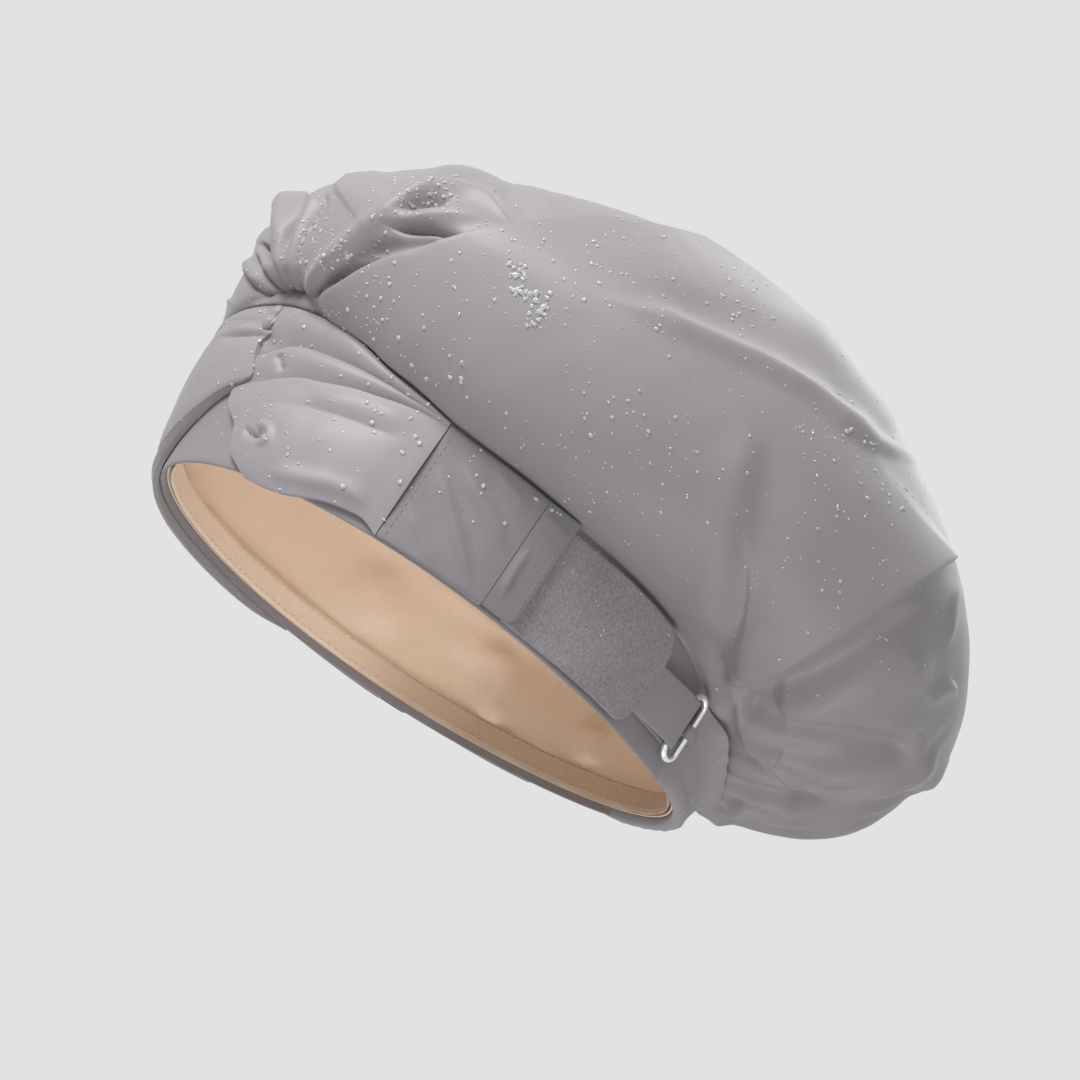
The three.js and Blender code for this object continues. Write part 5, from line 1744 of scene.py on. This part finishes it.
def add_lamps():
    middle = AIM * MM
    add_lamp("key", middle + IMAGE_UP * 1.3 + TO_CAMERA * 0.42 - IMAGE_RIGHT * 0.25, power=20, size=0.6)
    add_lamp("fill", middle + TO_CAMERA * 1.5 + IMAGE_RIGHT * 0.4, power=2.8, size=1.2)
    add_lamp("opening", middle + TO_CAMERA * 0.7 + np.array([0, 0.5, -1.15]), power=8.2, size=0.8)
    add_lamp("inside", (0, 0.035, 0.014), power=0.02, size=0.06, aim=(0, -0.09, 0.035))
    add_lamp("back", middle - TO_CAMERA * 1.2 + np.array([0, 0.5, 1.0]), power=8.5, size=1)


def add_camera():
    data = bpy.data.cameras.new("camera")
    data.sensor_width = SENSOR
    data.lens = SENSOR * PHOTO_DISTANCE * PHOTO_SCALE / PHOTO_SIZE
    camera = bpy.data.objects.new("camera", data)
    bpy.context.collection.objects.link(camera)
    columns = [IMAGE_RIGHT, IMAGE_UP, TO_CAMERA, CAMERA_PLACE * MM]
    for row in range(3):
        for column in range(4):
            camera.matrix_world[row][column] = columns[column][row]
    bpy.context.scene.camera = camera


# Everything together


def finished(piece, body, node, slot, material=None):
    """The piece on its body, with the CAD node that it replaces hidden, if any, and dressed in the named
    material, or else in the slot's material.
    """
    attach(piece, body)
    if node:
        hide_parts(node)
    dress(piece, MATERIALS[material or slot])
    return piece


def add_seams(panel, flap, facing):
    """The threads of the panels' front seams, of the flaps' free edges and of the facing."""
    heights = np.linspace(*PANEL_SEAM_HEIGHTS)
    panel_seam = line_on(panel, PANEL_FRONT_ANGLE + PANEL_SEAM_STEP, heights, RAYS_FROM_OUTSIDE)
    heights = np.linspace(HOOK_FOOT + FLAP_SEAM_FOOT_GAP, HOOK_FOOT + FLAP_HEIGHT - FLAP_SEAM_TOP_GAP, 50)
    flap_angle = float(step_round(FLAP_SEAM_ANGLE, FLAP_LENGTH - FLAP_SEAM_INSET))
    flap_seam = line_on(flap, flap_angle, heights, RAYS_FROM_OUTSIDE)
    around = np.linspace(-FACING_SEAM_ANGLE, FACING_SEAM_ANGLE, 700)
    facing_seams = [line_on(facing, around, LINING_FOOT + rise, RAYS_FROM_INSIDE)
                    for rise in FACING_SEAM_HEIGHTS]
    for side in ("left", "right"):
        if side == "right":
            panel_seam, flap_seam = mirrored_line(panel_seam), mirrored_line(flap_seam)
        finished(add_thread(f"panel_seam_thread_{side}", [panel_seam]), "root", None, "band", "thread")
        finished(add_thread(f"flap_seam_thread_{side}", [flap_seam]),
                 f"flap_{side}", None, "band", "thread")
    finished(add_thread("facing_thread", facing_seams), "root", None, "facing", "tan_thread")


def add_water(trees):
    draw = np.random.default_rng(BEAD_SEED)
    places = place_beads(trees, draw)
    for body in BEAD_BODIES:
        if places[body]:
            beads = add_beads(f"water_beads_{body}", places[body], draw)
            finished(beads, body, None, "shell", "water")


def build():
    """All pieces on their bodies, with the seams' threads and the water beads."""
    crown = finished(add_crown(), "root", "crown_shell", "shell")
    lining = finished(add_lining(), "root", "crown_lining", "lining")
    facing = finished(add_facing(), "root", "lining_facing", "facing")
    band = finished(add_base_band(), "root", "base_band", "band", "base")
    pleats = [*add_left_pleats(), *add_right_pleats()]
    for piece in pleats:
        finished(piece, "root", piece.name.removesuffix("_cloth"), "shell")
    knot = finished(add_knot(), "root", "knot_tack", "shell")
    casing = finished(add_casing(), "root", "back_casing", "shell")
    elastic = finished(add_elastic(), "root", "back_elastic", "elastic")

    panels = both_sides(build_side_panel, "side_panel_cloth")
    flaps = both_sides(build_flap, "hook_flap_cloth")
    tapes = both_sides(build_hook_tape, "hook_tape_strip")
    loops = both_sides(build_loop_panel, "loop_panel_cloth")
    straps = both_sides(build_strap, "strap_ribbon")
    tabs = both_sides(build_tab, "ring_tab_ribbon")
    trees = {"root": tree_of(crown, band, *pleats, knot, casing, *panels, *tabs),
             "inside": tree_of(lining, facing)}
    closures = list(zip(("left", "right"), panels, flaps, tapes, loops, straps, tabs))
    for side, panel, flap, tape, loop, strap, tab in closures:
        finished(panel, "root", f"side_panel_{side}", "band")
        finished(flap, f"flap_{side}", f"hook_flap_{side}", "band")
        finished(tape, f"flap_{side}", f"hook_tape_{side}", "hook")
        finished(loop, f"strap_{side}", f"loop_panel_{side}", "loop")
        finished(strap, f"strap_{side}", f"strap_{side}", "band", "shell")
        finished(tab, "root", f"ring_tab_{side}", "shell")
        ring = add_ring(f"wire_ring_{side}_wire", side)
        finished(ring, f"ring_{side}", f"wire_ring_{side}", "wire")
        trees[f"flap_{side}"] = tree_of(flap)
        trees[f"strap_{side}"] = tree_of(loop, strap)
    add_seams(panels[0], flaps[0], facing)
    add_water(trees)


build()
add_floor()
add_world()
add_lamps()
add_camera()
bpy.context.scene.view_settings.view_transform = "Standard"
